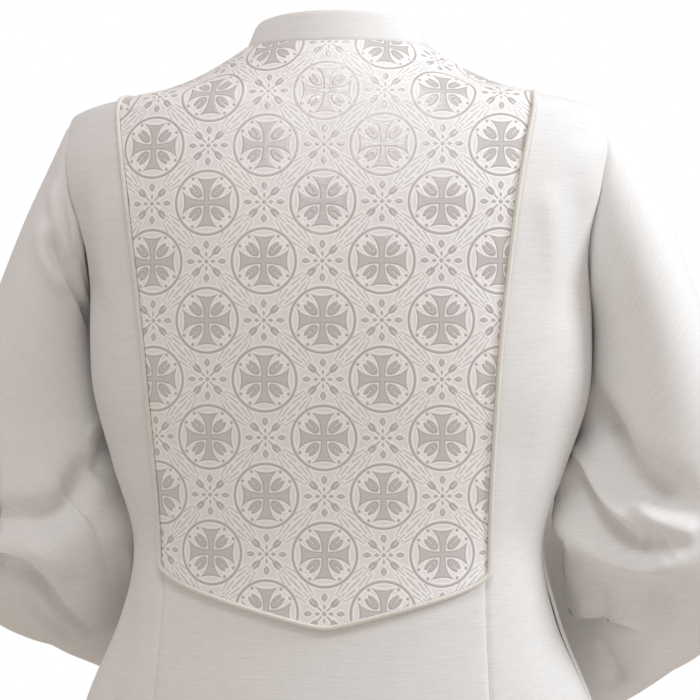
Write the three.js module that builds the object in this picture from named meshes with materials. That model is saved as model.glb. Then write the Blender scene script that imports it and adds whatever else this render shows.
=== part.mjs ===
// A full-length pulpit robe as it hangs on a wearer: a stand collar, a back cut in three panels with
// princess seams, a brocade panel framed by a cord over the upper back, two front panels that lap at
// the centre, and two set-in bell sleeves bent at the elbow.
// Millimetres, +Z up, the robe faces -Y, +X is the wearer's left. The origin is the middle of the neck
// opening at the height of the shoulder seams' neck ends, where the shoulders carry the robe.
import * as THREE from "three";

// Driving dimensions.
const WALL = 2; // thickness of the robe cloth with its interlining
const BROCADE_WALL = 1.4;
const SEAM_GAP = 0.3; // between the pieces of one seam
const NECK_HALF_WIDTH = 84;
const NECK_FRONT_DROP = 50;
const SHOULDER_TIP = { x: 247, z: -62 };
const UNDERARM_Z = -225;
const HEM_Z = -1380;
const BROCADE_CORNER_Z = -471; // where its side edges end
const BROCADE_TILT = 2; // how much higher its left corner sits, and how much lower its right one
const PANEL_SHIFT = 5; // the back centre panel sits this far to the left
const BROCADE_POINT_Z = -517;
const CORD_RADIUS = 2;
const COLLAR_HEIGHT = 30;
const FRONT_LAP = 16; // how far each front passes the centre line
const ARMHOLE_BACK_DEPTH = 52;
const ARMHOLE_FRONT_DEPTH = 48;

// Horizontal sections of the body, from the neck down. Each is a superellipse.
const BODY = [
  { z: 0, halfWidth: 84, back: 68, front: 62, square: 2.1 },
  { z: -10, halfWidth: 99, back: 76, front: 67, square: 2.1 },
  { z: -27, halfWidth: 129, back: 86, front: 75, square: 2.1 },
  { z: -39, halfWidth: 161, back: 91, front: 79, square: 2.15 },
  { z: -45, halfWidth: 192, back: 93, front: 81, square: 2.15 },
  { z: -50, halfWidth: 219, back: 95, front: 83, square: 2.2 },
  { z: -56, halfWidth: 237, back: 98, front: 86, square: 2.2 },
  { z: -62, halfWidth: 247, back: 100, front: 88, square: 2.2 },
  { z: -80, halfWidth: 256, back: 106, front: 95, square: 2.25 },
  { z: -102, halfWidth: 262, back: 112, front: 102, square: 2.3 },
  { z: -130, halfWidth: 259, back: 118, front: 110, square: 2.35 },
  { z: -152, halfWidth: 253, back: 121, front: 115, square: 2.4 },
  { z: -198, halfWidth: 239, back: 124, front: 121, square: 2.4 },
  { z: -225, halfWidth: 234, back: 124, front: 122, square: 2.4 },
  { z: -300, halfWidth: 229, back: 119, front: 119, square: 2.4 },
  { z: -380, halfWidth: 209, back: 110, front: 114, square: 2.35 },
  { z: -455, halfWidth: 189, back: 106, front: 112, square: 2.3 },
  { z: -520, halfWidth: 203, back: 111, front: 116, square: 2.25 },
  { z: -600, halfWidth: 234, back: 124, front: 126, square: 2.2 },
  { z: -800, halfWidth: 288, back: 150, front: 150, square: 2.1 },
  { z: -1000, halfWidth: 332, back: 174, front: 171, square: 2.05 },
  { z: -1200, halfWidth: 372, back: 196, front: 190, square: 2 },
  { z: -1380, halfWidth: 404, back: 214, front: 205, square: 2 },
];

// Half width of the back centre panel: the line of the princess seam and of the brocade's side.
const PRINCESS = [
  { z: -38, x: 184 },
  { z: -150, x: 170 },
  { z: -300, x: 154 },
  { z: -471, x: 145 },
  { z: -600, x: 151 },
  { z: -900, x: 186 },
  { z: -1380, x: 246 },
];

// Vertical flutes of the skirt. turn is the place round the robe: 0 centre back, 1 left side seam,
// -1 right side seam, 2 and -2 centre front. The flute grows from its top down to the hem.
const FLUTES = [
  { turn: 0.02, width: 0.1, depth: 13, top: -800, drift: 0.0 },
  { turn: 0.27, width: 0.1, depth: 19, top: -640, drift: 0.02 },
  { turn: -0.25, width: 0.09, depth: 17, top: -680, drift: -0.02 },
  { turn: 0.53, width: 0.09, depth: 25, top: -560, drift: 0.0 },
  { turn: -0.5, width: 0.1, depth: 27, top: -540, drift: 0.02 },
  { turn: 0.79, width: 0.08, depth: 31, top: -470, drift: -0.02 },
  { turn: -0.77, width: 0.085, depth: 33, top: -470, drift: 0.03 },
  { turn: 1.06, width: 0.085, depth: 27, top: -520, drift: 0.02 },
  { turn: -1.07, width: 0.08, depth: 25, top: -540, drift: -0.02 },
  { turn: 1.32, width: 0.09, depth: 29, top: -500, drift: 0.01 },
  { turn: -1.35, width: 0.09, depth: 27, top: -520, drift: -0.01 },
  { turn: 1.58, width: 0.085, depth: 23, top: -600, drift: 0.0 },
  { turn: -1.61, width: 0.09, depth: 25, top: -580, drift: 0.0 },
  { turn: 1.82, width: 0.07, depth: 15, top: -700, drift: 0.0 },
  { turn: -1.83, width: 0.07, depth: 13, top: -720, drift: 0.0 },
];

// How far the arm presses the robe in at the side seam.
const ARM_PRESS = [
  { z: -62, depth: 0 },
  { z: -150, depth: 2 },
  { z: -225, depth: 4 },
  { z: -320, depth: 1 },
  { z: -400, depth: 0.5 },
  { z: -460, depth: 0 },
];
const ARM_PRESS_WIDTH = 0.2;

// Sleeve sections from the armhole to the hem, for the wearer's left. outer is the shoulder-tip line,
// inner the underarm line; back points to the back of the arm and, past the elbow, down. The section
// after the elbow draws in under the drape of the upper arm: the sleeve's main crease.
const SLEEVE_LEFT = [
  { outer: [268, 0, -106], inner: [232, -4, -241], axis: [0, 1, 0], back: 60, front: 60 },
  { outer: [291, 0, -156], inner: [232, -26, -264], axis: [0, 1, -0.04], back: 74, front: 60 },
  { outer: [320, -2, -225], inner: [227, -42, -298], axis: [0, 1, -0.1], back: 78, front: 66 },
  { outer: [351, -6, -298], inner: [218, -48, -340], axis: [0, 1, -0.18], back: 78, front: 70 },
  { outer: [378, -14, -362], inner: [206, -44, -388], axis: [0, 0.95, -0.3], back: 80, front: 76 },
  { outer: [394, -38, -420], inner: [204, -46, -428], axis: [0.03, 0.8, -0.6], back: 86, front: 72 },
  { outer: [382, -78, -450], inner: [205, -80, -450], axis: [0, 0.55, -0.85], back: 105, front: 74 },
  { outer: [352, -122, -467], inner: [200, -99, -465], axis: [-0.03, 0.2, -0.98], back: 101, front: 78 },
  { outer: [304, -170, -480], inner: [172, -126, -480], axis: [-0.05, 0.1, -0.99], back: 118, front: 86 },
  { outer: [240, -214, -491], inner: [138, -157, -494], axis: [-0.05, 0.05, -1], back: 120, front: 94 },
  { outer: [194, -247, -499], inner: [108, -182, -503], axis: [-0.05, 0.05, -1], back: 126, front: 101 },
  { outer: [150, -278, -506], inner: [76, -208, -512], axis: [-0.05, 0.05, -1], back: 138, front: 106 },
];

// The right arm is held a little lower and wider.
const SLEEVE_RIGHT = [
  { outer: [275, 0, -104], inner: [232, -4, -241], axis: [0, 1, 0], back: 60, front: 60 },
  { outer: [303, 0, -158], inner: [231, -28, -264], axis: [0, 1, -0.04], back: 76, front: 60 },
  { outer: [329, -2, -228], inner: [226, -46, -300], axis: [0, 1, -0.1], back: 80, front: 64 },
  { outer: [356, -6, -304], inner: [217, -52, -344], axis: [0, 1, -0.18], back: 82, front: 68 },
  { outer: [380, -14, -370], inner: [210, -44, -394], axis: [0, 0.95, -0.3], back: 80, front: 76 },
  { outer: [396, -36, -430], inner: [215, -46, -438], axis: [0.03, 0.8, -0.6], back: 88, front: 74 },
  { outer: [386, -78, -462], inner: [216, -80, -462], axis: [0, 0.55, -0.85], back: 107, front: 76 },
  { outer: [358, -122, -482], inner: [204, -99, -480], axis: [-0.03, 0.2, -0.98], back: 108, front: 80 },
  { outer: [308, -170, -497], inner: [174, -126, -496], axis: [-0.05, 0.1, -0.99], back: 130, front: 88 },
  { outer: [242, -214, -508], inner: [138, -157, -508], axis: [-0.05, 0.05, -1], back: 132, front: 95 },
  { outer: [194, -247, -515], inner: [108, -182, -516], axis: [-0.05, 0.05, -1], back: 138, front: 101 },
  { outer: [150, -278, -522], inner: [76, -208, -526], axis: [-0.05, 0.05, -1], back: 146, front: 106 },
];

// Mesh steps.
const YOKE_ROWS = 10; // shoulder to underarm, and half the sleeve's steps round the armhole
const NECK_COLUMNS = 6; // centre line to the neck end of the shoulder seam
const BACK_YOKE_COLUMNS = 4;
const BACK_SIDE_COLUMNS = 8;
const FRONT_YOKE_COLUMNS = 9;
const SLEEVE_ROWS = 26;
const CORD_SIDES = 8;
const COLLAR_ROWS = 2;
const SKIRT_HEIGHTS = [-280, -335, -390, -440, -490, -545, -610, -690, -790, -900, -1020, -1140, -1260, HEM_Z];

const lerp = THREE.MathUtils.lerp;
const smooth = (t) => THREE.MathUtils.smoothstep(t, 0, 1);
const eased = (t) => (1 - Math.cos(Math.PI * t)) / 2;
const range = (from, to) => Array.from({ length: to - from + 1 }, (_, k) => from + k);

// A column of a table at height z, by monotone cubic interpolation. Rows run downwards.
function column(table, name, z) {
  const last = table.length - 1;
  if (z >= table[0].z) return table[0][name];
  if (z <= table[last].z) return table[last][name];
  const k = table.findIndex((row) => row.z <= z) - 1;
  const slope = (i) => (table[i + 1][name] - table[i][name]) / (table[i + 1].z - table[i].z);
  const tangent = (i) => {
    if (i === 0) return slope(0);
    if (i === last) return slope(last - 1);
    const [before, after] = [slope(i - 1), slope(i)];
    return before * after <= 0 ? 0 : (2 * before * after) / (before + after);
  };
  const span = table[k + 1].z - table[k].z;
  const t = (z - table[k].z) / span;
  const rise = table[k + 1][name] - table[k][name];
  return (
    table[k][name] +
    rise * t * t * (3 - 2 * t) +
    tangent(k) * span * t * (1 - t) * (1 - t) -
    tangent(k + 1) * span * t * t * (1 - t)
  );
}

// Height of the shoulder line at x: where the body's half width is x.
function shoulderHeight(x) {
  let [low, high] = [SHOULDER_TIP.z, 0];
  for (let step = 0; step < 40; step++) {
    const middle = (low + high) / 2;
    if (column(BODY, "halfWidth", middle) > x) low = middle;
    else high = middle;
  }
  return low;
}

// How far the cloth stands out of the plain section at a place round the robe.
function foldDepth(turn, z) {
  const nearSide = (Math.abs(turn) - 1) / ARM_PRESS_WIDTH;
  let depth = -column(ARM_PRESS, "depth", z) * Math.exp(-nearSide * nearSide);
  for (const flute of FLUTES) {
    if (z > flute.top) continue;
    const grown = (flute.top - z) / (flute.top - HEM_Z);
    const off = (turn - flute.turn - flute.drift * grown) / flute.width;
    depth += flute.depth * grown * smooth(grown * 1.6) * Math.exp(-off * off);
  }
  return depth;
}

// The body's surface at x and z, on its back (side 1) or its front (side -1), as {point, normal} with the x and z it came from.
function onBody(side, x, z) {
  const halfWidth = column(BODY, "halfWidth", z);
  const depthName = side > 0 ? "back" : "front";
  const depth = column(BODY, depthName, z);
  const square = column(BODY, "square", z);
  const share = Math.min(1, Math.abs(x) / halfWidth);
  const rise = (1 - share ** square) ** (1 / square);
  const quarter = (Math.asin(share) * 2) / Math.PI;
  const turn = (x < 0 ? -1 : 1) * (side > 0 ? quarter : 2 - quarter);
  const widening = (column(BODY, "halfWidth", z + 1) - column(BODY, "halfWidth", z - 1)) / 2 / halfWidth;
  const deepening = (column(BODY, depthName, z + 1) - column(BODY, depthName, z - 1)) / 2 / depth;
  const normal = new THREE.Vector3(
    (Math.sign(x) * share ** (square - 1)) / halfWidth,
    (side * rise ** (square - 1)) / depth,
    -(share ** square * widening + rise ** square * deepening),
  ).normalize();
  const level = new THREE.Vector3(normal.x, normal.y, 0).normalize();
  const point = new THREE.Vector3(x, side * depth * rise, z).addScaledVector(level, foldDepth(turn, z));
  return { point, normal, x, z };
}

// Distance from the y = 0 plane to the armhole's edge at z.
function armholeDepth(side, z) {
  const cosine = THREE.MathUtils.clamp(
    (2 * z - SHOULDER_TIP.z - UNDERARM_Z) / (SHOULDER_TIP.z - UNDERARM_Z),
    -1,
    1,
  );
  return (side > 0 ? ARMHOLE_BACK_DEPTH : ARMHOLE_FRONT_DEPTH) * Math.sqrt(1 - cosine * cosine) ** 0.9;
}

// Outer edge of the body's panels at z: the armhole's edge, and the side seam below it.
function outerEdge(side, z) {
  const height = Math.min(z, SHOULDER_TIP.z);
  const halfWidth = column(BODY, "halfWidth", height);
  if (height <= UNDERARM_Z) return halfWidth;
  const depth = column(BODY, side > 0 ? "back" : "front", height);
  const square = column(BODY, "square", height);
  return halfWidth * (1 - (armholeDepth(side, height) / depth) ** square) ** (1 / square);
}

const bodyRows = YOKE_ROWS + SKIRT_HEIGHTS.length;

function rowHeight(row, topZ) {
  if (row <= YOKE_ROWS) return lerp(topZ, UNDERARM_Z, eased(row / YOKE_ROWS));
  return SKIRT_HEIGHTS[row - YOKE_ROWS - 1];
}

// The share of a width that a column takes when columns are spread evenly round the section.
function evenShare(z, from, to, share) {
  const halfWidth = column(BODY, "halfWidth", z);
  const [fromTurn, toTurn] = [from, to].map((x) => Math.asin(Math.min(1, x / halfWidth)));
  return (halfWidth * Math.sin(lerp(fromTurn, toTurn, share)) - from) / (to - from);
}

// Where a column starts on the neckline, k neck columns from the centre line.
const neckX = (k) => NECK_HALF_WIDTH * Math.sin((Math.PI / 2) * (k / NECK_COLUMNS));
const neckZ = (side, x) =>
  side > 0 ? 0 : -NECK_FRONT_DROP * Math.sqrt(Math.max(0, 1 - (x / NECK_HALF_WIDTH) ** 2)) ** 1.3;
const topHeight = (side, x) => (Math.abs(x) < NECK_HALF_WIDTH - 0.001 ? neckZ(side, x) : shoulderHeight(Math.abs(x)));

// Half of the back, from the centre line to the outer edge. hand is 1 for the left half and -1 for the
// right one, which is mirrored afterwards.
function backHalf(hand) {
  const centreColumns = NECK_COLUMNS + BACK_YOKE_COLUMNS;
  const seamX = (z) => column(PRINCESS, "x", z) + hand * PANEL_SHIFT;
  const seamTop = seamX(0);
  return range(0, bodyRows).map((i) => {
    const settled = smooth(i / YOKE_ROWS);
    return range(0, centreColumns + BACK_SIDE_COLUMNS).map((j) => {
      if (j <= centreColumns) {
        const topX = j <= NECK_COLUMNS ? neckX(j) : lerp(NECK_HALF_WIDTH, seamTop, (j - NECK_COLUMNS) / BACK_YOKE_COLUMNS);
        const z = rowHeight(i, topHeight(1, topX));
        const seam = seamX(z);
        return onBody(1, seam * lerp(topX / seamTop, evenShare(z, 0, seam, j / centreColumns), settled), z);
      }
      const across = (j - centreColumns) / BACK_SIDE_COLUMNS;
      const z = rowHeight(i, topHeight(1, lerp(seamTop, SHOULDER_TIP.x, across)));
      const [seam, edge] = [seamX(z), outerEdge(1, z)];
      return onBody(1, lerp(seam, edge, lerp(across, evenShare(z, seam, edge, across), settled)), z);
    });
  });
}

// Half of the front, from the edge of its lap past the centre line to the outer edge.
function frontHalf() {
  const columns = NECK_COLUMNS + FRONT_YOKE_COLUMNS;
  return range(0, bodyRows).map((i) => {
    const settled = smooth(i / YOKE_ROWS);
    return range(-1, columns).map((j) => {
      if (j < 0) return onBody(-1, -FRONT_LAP, rowHeight(i, topHeight(-1, FRONT_LAP)));
      const topX =
        j <= NECK_COLUMNS ? neckX(j) : lerp(NECK_HALF_WIDTH, SHOULDER_TIP.x, (j - NECK_COLUMNS) / FRONT_YOKE_COLUMNS);
      const z = rowHeight(i, topHeight(-1, topX));
      const edge = outerEdge(-1, z);
      return onBody(-1, edge * lerp(topX / SHOULDER_TIP.x, evenShare(z, 0, edge, j / columns), settled), z);
    });
  });
}

// The same cloth on the other side of the robe, with that side's own flutes.
function mirrored(grid, side) {
  return grid.map((row) => row.map((spot) => onBody(side, -spot.x, spot.z)));
}

// Cloth of the given thickness under a grid of spots. around closes the grid's columns into a tube.
function cloth(grid, thickness, around = false) {
  const [rows, columns] = [grid.length, grid[0].length];
  const positions = [];
  for (const under of [0, thickness])
    for (const row of grid)
      for (const spot of row) positions.push(...spot.point.clone().addScaledVector(spot.normal, -under));
  const index = [];
  const inner = rows * columns;
  const at = (i, j) => i * columns + (j % columns);
  const corner = grid[1][1].point;
  const facing = new THREE.Vector3()
    .crossVectors(grid[2][1].point.clone().sub(corner), grid[1][2].point.clone().sub(corner))
    .dot(grid[1][1].normal);
  const quad = (a, b, c, d) => (facing > 0 ? index.push(a, b, c, a, c, d) : index.push(a, c, b, a, d, c));
  const lastColumn = around ? columns : columns - 1;
  for (let i = 0; i < rows - 1; i++)
    for (let j = 0; j < lastColumn; j++) {
      quad(at(i, j), at(i + 1, j), at(i + 1, j + 1), at(i, j + 1));
      quad(inner + at(i, j), inner + at(i, j + 1), inner + at(i + 1, j + 1), inner + at(i + 1, j));
    }
  for (let j = 0; j < lastColumn; j++) {
    quad(at(0, j), at(0, j + 1), inner + at(0, j + 1), inner + at(0, j));
    quad(at(rows - 1, j + 1), at(rows - 1, j), inner + at(rows - 1, j), inner + at(rows - 1, j + 1));
  }
  if (!around)
    for (let i = 0; i < rows - 1; i++) {
      quad(at(i + 1, 0), at(i, 0), inner + at(i, 0), inner + at(i + 1, 0));
      const end = columns - 1;
      quad(at(i, end), at(i + 1, end), inner + at(i + 1, end), inner + at(i, end));
    }
  const geometry = new THREE.BufferGeometry();
  geometry.setAttribute("position", new THREE.Float32BufferAttribute(positions, 3));
  geometry.setIndex(index);
  geometry.computeVertexNormals();
  return geometry;
}

const nudge = (spot, toward, distance) => ({
  point: spot.point.clone().addScaledVector(toward.point.clone().sub(spot.point).normalize(), distance),
  normal: spot.normal,
});

// The grid with each of its edges drawn in by half a seam gap.
function insetEdges(grid) {
  const half = SEAM_GAP / 2;
  const last = grid[0].length - 1;
  const sides = grid.map((row) =>
    row.map((spot, j) => {
      if (j === 0) return nudge(spot, row[1], half);
      return j === last ? nudge(spot, row[last - 1], half) : spot;
    }),
  );
  return sides.map((row, i) => (i === 0 ? row.map((spot, j) => nudge(spot, sides[1][j], half)) : row));
}

const blend = (a, b, t) => a.clone().lerp(b, t).normalize();

// The armhole's edge on one side of the robe, from the shoulder tip down the back and up the front.
function armholeRing(back, front) {
  const backEdge = range(0, YOKE_ROWS).map((i) => back[i][back[i].length - 1]);
  const frontEdge = range(1, YOKE_ROWS - 1).map((i) => front[i][front[i].length - 1]);
  return [...backEdge, ...frontEdge.reverse()];
}

// A sleeve's spots, ring by ring, set into the armhole. hand is 1 for the left and -1 for the right.
function sleeveGrid(table, hand, armhole) {
  const track = (pick) => new THREE.CatmullRomCurve3(table.map((row) => new THREE.Vector3(...pick(row))));
  const [outer, inner, axis, reach] = [
    track((row) => row.outer),
    track((row) => row.inner),
    track((row) => row.axis),
    track((row) => [row.back, row.front, 0]),
  ];
  const steps = armhole.length;
  const rings = range(1, SLEEVE_ROWS).map((i) => {
    const t = (i - 1) / (SLEEVE_ROWS - 1);
    const [top, under, sideways, depth] = [outer, inner, axis, reach].map((curve) => curve.getPoint(t));
    const centre = top.clone().add(under).multiplyScalar(0.5);
    const arm = top.clone().sub(under).multiplyScalar(0.5);
    sideways.normalize();
    return range(0, steps - 1).map((k) => {
      const angle = (2 * Math.PI * k) / steps;
      const [cosine, sine] = [Math.cos(angle), Math.sin(angle)];
      const spread = Math.sign(sine) * Math.abs(sine) ** 0.92 * (sine > 0 ? depth.x : depth.y);
      const point = centre.clone().addScaledVector(arm, cosine).addScaledVector(sideways, spread);
      return { point: new THREE.Vector3(point.x * hand, point.y, point.z) };
    });
  });
  const points = [armhole.map((spot) => ({ point: spot.point.clone() })), ...rings];
  const grid = points.map((ring, i) =>
    ring.map((spot, k) => {
      const [before, after] = [points[Math.max(0, i - 1)][k].point, points[Math.min(SLEEVE_ROWS, i + 1)][k].point];
      const [left, right] = [ring[(k + steps - 1) % steps].point, ring[(k + 1) % steps].point];
      const normal = new THREE.Vector3()
        .crossVectors(after.clone().sub(before), right.clone().sub(left))
        .normalize()
        .multiplyScalar(hand);
      return { point: spot.point, normal };
    }),
  );
  // At the armhole a convex seam is mitred and a hollow one keeps each piece's own thickness.
  grid[0] = grid[0].map((spot, k) => {
    const bodyNormal = armhole[k].normal;
    const leaving = grid[1][k].point.clone().sub(spot.point).normalize();
    const hollow = THREE.MathUtils.smoothstep(bodyNormal.dot(leaving), -0.2, 0.3);
    const shared = bodyNormal.clone().add(spot.normal).normalize();
    armhole[k].normal = blend(shared, bodyNormal, hollow);
    return {
      point: spot.point.clone().addScaledVector(leaving.addScaledVector(bodyNormal, 2 * hollow).normalize(), 0.9),
      normal: blend(shared, spot.normal, hollow),
    };
  });
  return grid;
}

// A cord of round section along spots, its ends flat.
function cord(spots, radius) {
  const grid = spots.map((spot, i) => {
    const along = spots[Math.min(spots.length - 1, i + 1)].point.clone().sub(spots[Math.max(0, i - 1)].point).normalize();
    const across = new THREE.Vector3().crossVectors(spot.normal, along).normalize();
    const up = new THREE.Vector3().crossVectors(along, across);
    return range(0, CORD_SIDES - 1).map((k) => {
      const angle = (2 * Math.PI * k) / CORD_SIDES;
      return spot.point.clone().addScaledVector(across, radius * Math.cos(angle)).addScaledVector(up, radius * Math.sin(angle));
    });
  });
  const positions = grid.flat().flatMap((point) => [...point]);
  const index = [];
  for (let i = 0; i < grid.length - 1; i++)
    for (let k = 0; k < CORD_SIDES; k++) {
      const [a, b] = [i * CORD_SIDES + k, i * CORD_SIDES + ((k + 1) % CORD_SIDES)];
      index.push(a, b, b + CORD_SIDES, a, b + CORD_SIDES, a + CORD_SIDES);
    }
  const end = (grid.length - 1) * CORD_SIDES;
  for (let k = 1; k < CORD_SIDES - 1; k++) index.push(0, k + 1, k, end, end + k, end + k + 1);
  const geometry = new THREE.BufferGeometry();
  geometry.setAttribute("position", new THREE.Float32BufferAttribute(positions, 3));
  geometry.setIndex(index);
  geometry.computeVertexNormals();
  return geometry;
}

// The body's spots.
const backLeft = backHalf(1);
const backRight = mirrored(backHalf(-1), 1);
const frontLeft = frontHalf();
const frontRight = mirrored(frontLeft, -1);
const centreColumns = NECK_COLUMNS + BACK_YOKE_COLUMNS;

// The sleeves are set in before the panels are made, because they share the armholes' edges.
const sleeveLeft = sleeveGrid(SLEEVE_LEFT, 1, armholeRing(backLeft, frontLeft));
const sleeveRight = sleeveGrid(SLEEVE_RIGHT, -1, armholeRing(backRight, frontRight));

const backCentre = backLeft.map((row, i) => [
  ...backRight[i].slice(1, centreColumns + 1).reverse(),
  ...row.slice(0, centreColumns + 1),
]);

// The right front lies under the left one's lap.
const tucked = frontRight.map((row) =>
  row.map((spot) => {
    const under = 1 - THREE.MathUtils.smoothstep(-spot.point.x, FRONT_LAP + 44, FRONT_LAP + 120);
    return {
      point: spot.point.clone().addScaledVector(spot.normal, -(WALL + 2 * SEAM_GAP) * under),
      normal: spot.normal,
    };
  }),
);

// The brocade panel, on the back centre panel's own columns down to its pointed lower edge.
const brocadeEdgeZ = (share) =>
  lerp(BROCADE_POINT_Z, BROCADE_CORNER_Z, 0.93 * (Math.hypot(share, 0.06) - 0.06) + 0.13 * share ** 10) +
  BROCADE_TILT * share;
const lift = (spot, height) => ({
  point: spot.point.clone().addScaledVector(spot.normal, height),
  normal: spot.normal,
});
// The spot at height z on the chords of one column.
function onColumn(grid, j, z) {
  const i = grid.findIndex((row) => row[j].point.z < z);
  const [above, below] = [grid[i - 1][j], grid[i][j]];
  const t = (above.point.z - z) / (above.point.z - below.point.z);
  return { point: above.point.clone().lerp(below.point, t), normal: blend(above.normal, below.normal, t) };
}
const brocadeRows = YOKE_ROWS + SKIRT_HEIGHTS.filter((z) => z > BROCADE_CORNER_Z + BROCADE_TILT).length;
const brocade = [
  ...backCentre.slice(0, brocadeRows + 1),
  backCentre[0].map((_, j) => onColumn(backCentre, j, brocadeEdgeZ((j - centreColumns) / centreColumns))),
].map((row) => row.map((spot) => lift(spot, SEAM_GAP + BROCADE_WALL)));

// The cord runs down one side of the brocade, round its point and up the other side, just outside it.
function cordSpots() {
  const width = 2 * centreColumns;
  const rim = [
    ...brocade.slice(0, -1).map((row) => row[0]),
    ...brocade[brocade.length - 1],
    ...brocade.slice(0, -1).reverse().map((row) => row[width]),
  ];
  const clear = CORD_RADIUS + SEAM_GAP;
  return rim.map((spot, i) => {
    const along = rim[Math.min(rim.length - 1, i + 1)].point.clone().sub(rim[Math.max(0, i - 1)].point).normalize();
    const outward = new THREE.Vector3().crossVectors(spot.normal, along).normalize();
    const [before, after] = [rim[Math.max(0, i - 1)], rim[Math.min(rim.length - 1, i + 1)]];
    const turn = spot.point.clone().sub(before.point).angleTo(after.point.clone().sub(spot.point)) || 0;
    return {
      point: spot.point
        .clone()
        .addScaledVector(spot.normal, CORD_RADIUS - BROCADE_WALL + 0.4)
        .addScaledVector(outward, clear / Math.cos(Math.min(turn, 1.4) / 2)),
      normal: spot.normal,
    };
  });
}

// The collar stands on the neckline and leans in with the neck.
function collarGrid() {
  const back = range(-NECK_COLUMNS, NECK_COLUMNS).map((k) => ({ side: 1, x: Math.sign(k) * neckX(Math.abs(k)) }));
  const front = range(0, NECK_COLUMNS - 1).map((k) => ({ side: -1, x: k === 0 ? 1 : neckX(k) }));
  const stations = [
    ...front.map(({ side, x }) => ({ side, x: -x })),
    ...back,
    ...front.reverse(),
  ];
  return range(0, COLLAR_ROWS).map((row) =>
    stations.map(({ side, x }) => {
      const base = onBody(side, x, topHeight(side, x)).point;
      const up = row / COLLAR_ROWS;
      const inward = new THREE.Vector3(-base.x, -base.y, 0).normalize();
      const tall = COLLAR_HEIGHT * (base.y > 0 ? lerp(0.6, 0.95, base.y / 68) : lerp(0.6, 1, -base.y / 84));
      const lean = base.y > 0 ? 7 : 3;
      return {
        point: new THREE.Vector3(
          base.x + inward.x * 8 * up,
          base.y + inward.y * lean * up - 1.5 * up,
          base.z + SEAM_GAP + tall * up,
        ),
        normal: inward.clone().negate(),
      };
    }),
  );
}

const CLOTH = { color: 0xe9e4d9, roughness: 0.75 };
const pieces = [
  ["collar", cloth(collarGrid(), 3), CLOTH],
  ["back_centre", cloth(insetEdges(backCentre), WALL), CLOTH],
  ["back_side_left", cloth(insetEdges(backLeft.map((row) => row.slice(centreColumns))), WALL), CLOTH],
  ["back_side_right", cloth(insetEdges(backRight.map((row) => row.slice(centreColumns))), WALL), CLOTH],
  ["front_left", cloth(insetEdges(frontLeft), WALL), CLOTH],
  ["front_right", cloth(insetEdges(tucked), WALL), CLOTH],
  ["sleeve_left", cloth(sleeveLeft, WALL, true), CLOTH],
  ["sleeve_right", cloth(sleeveRight, WALL, true), CLOTH],
  ["brocade_panel", cloth(brocade, BROCADE_WALL), { color: 0xcfc9c0, roughness: 0.5 }],
  ["panel_cord", cord(cordSpots(), CORD_RADIUS), { color: 0xf0e9da, roughness: 0.6 }],
];

const group = new THREE.Group();
for (const [name, geometry, look] of pieces) {
  const mesh = new THREE.Mesh(geometry, new THREE.MeshStandardMaterial(look));
  mesh.name = name;
  group.add(mesh);
}
export default group;
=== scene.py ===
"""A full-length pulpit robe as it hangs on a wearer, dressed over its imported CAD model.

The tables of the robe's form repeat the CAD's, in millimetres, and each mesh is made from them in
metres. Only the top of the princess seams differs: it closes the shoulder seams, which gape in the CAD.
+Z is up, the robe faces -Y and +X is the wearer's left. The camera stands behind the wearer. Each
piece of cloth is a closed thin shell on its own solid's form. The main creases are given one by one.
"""

import math

import bpy
import numpy as np
from mathutils import Matrix, Vector


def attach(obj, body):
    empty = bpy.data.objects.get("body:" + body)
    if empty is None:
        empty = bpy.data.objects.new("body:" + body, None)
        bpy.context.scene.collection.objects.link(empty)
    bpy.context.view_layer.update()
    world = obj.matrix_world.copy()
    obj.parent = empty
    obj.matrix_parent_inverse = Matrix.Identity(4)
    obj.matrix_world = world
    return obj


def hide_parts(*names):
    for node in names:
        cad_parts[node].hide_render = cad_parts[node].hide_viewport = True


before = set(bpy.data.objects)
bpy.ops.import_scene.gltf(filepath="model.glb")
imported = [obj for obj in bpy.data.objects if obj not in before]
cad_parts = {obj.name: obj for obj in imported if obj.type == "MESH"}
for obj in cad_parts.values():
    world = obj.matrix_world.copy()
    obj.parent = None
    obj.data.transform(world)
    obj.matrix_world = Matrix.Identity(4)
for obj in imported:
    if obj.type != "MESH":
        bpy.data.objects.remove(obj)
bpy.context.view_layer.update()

METRE = 1000.0  # millimetres

# Driving dimensions, as in the CAD.
WALL = 2.0
BROCADE_WALL = 1.4
COLLAR_WALL = 3.0
SEAM_GAP = 0.3
NECK_HALF_WIDTH = 84.0
NECK_FRONT_DROP = 50.0
SHOULDER_TIP_X, SHOULDER_TIP_Z = 247.0, -62.0
UNDERARM_Z = -225.0
HEM_Z = -1380.0
BROCADE_CORNER_Z = -471.0
BROCADE_TILT = 2.0
PANEL_SHIFT = 5.0
BROCADE_POINT_Z = -517.0
CORD_RADIUS = 2.0
COLLAR_HEIGHT = 30.0
FRONT_LAP = 16.0
ARMHOLE_BACK_DEPTH = 52.0
ARMHOLE_FRONT_DEPTH = 48.0
ARMHOLE_ROUND = 0.9  # of the armhole's edge: 1 is an ellipse
NECK_FRONT_ROUND = 1.3  # of the neckline at the front: 1 is an ellipse
SLEEVE_ROUND = 0.92  # of a sleeve's section: 1 is an ellipse


def table(names, *rows):
    """Columns of numbers by name, from their rows."""
    return dict(zip(names.split(), np.array(rows, float).T))


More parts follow.
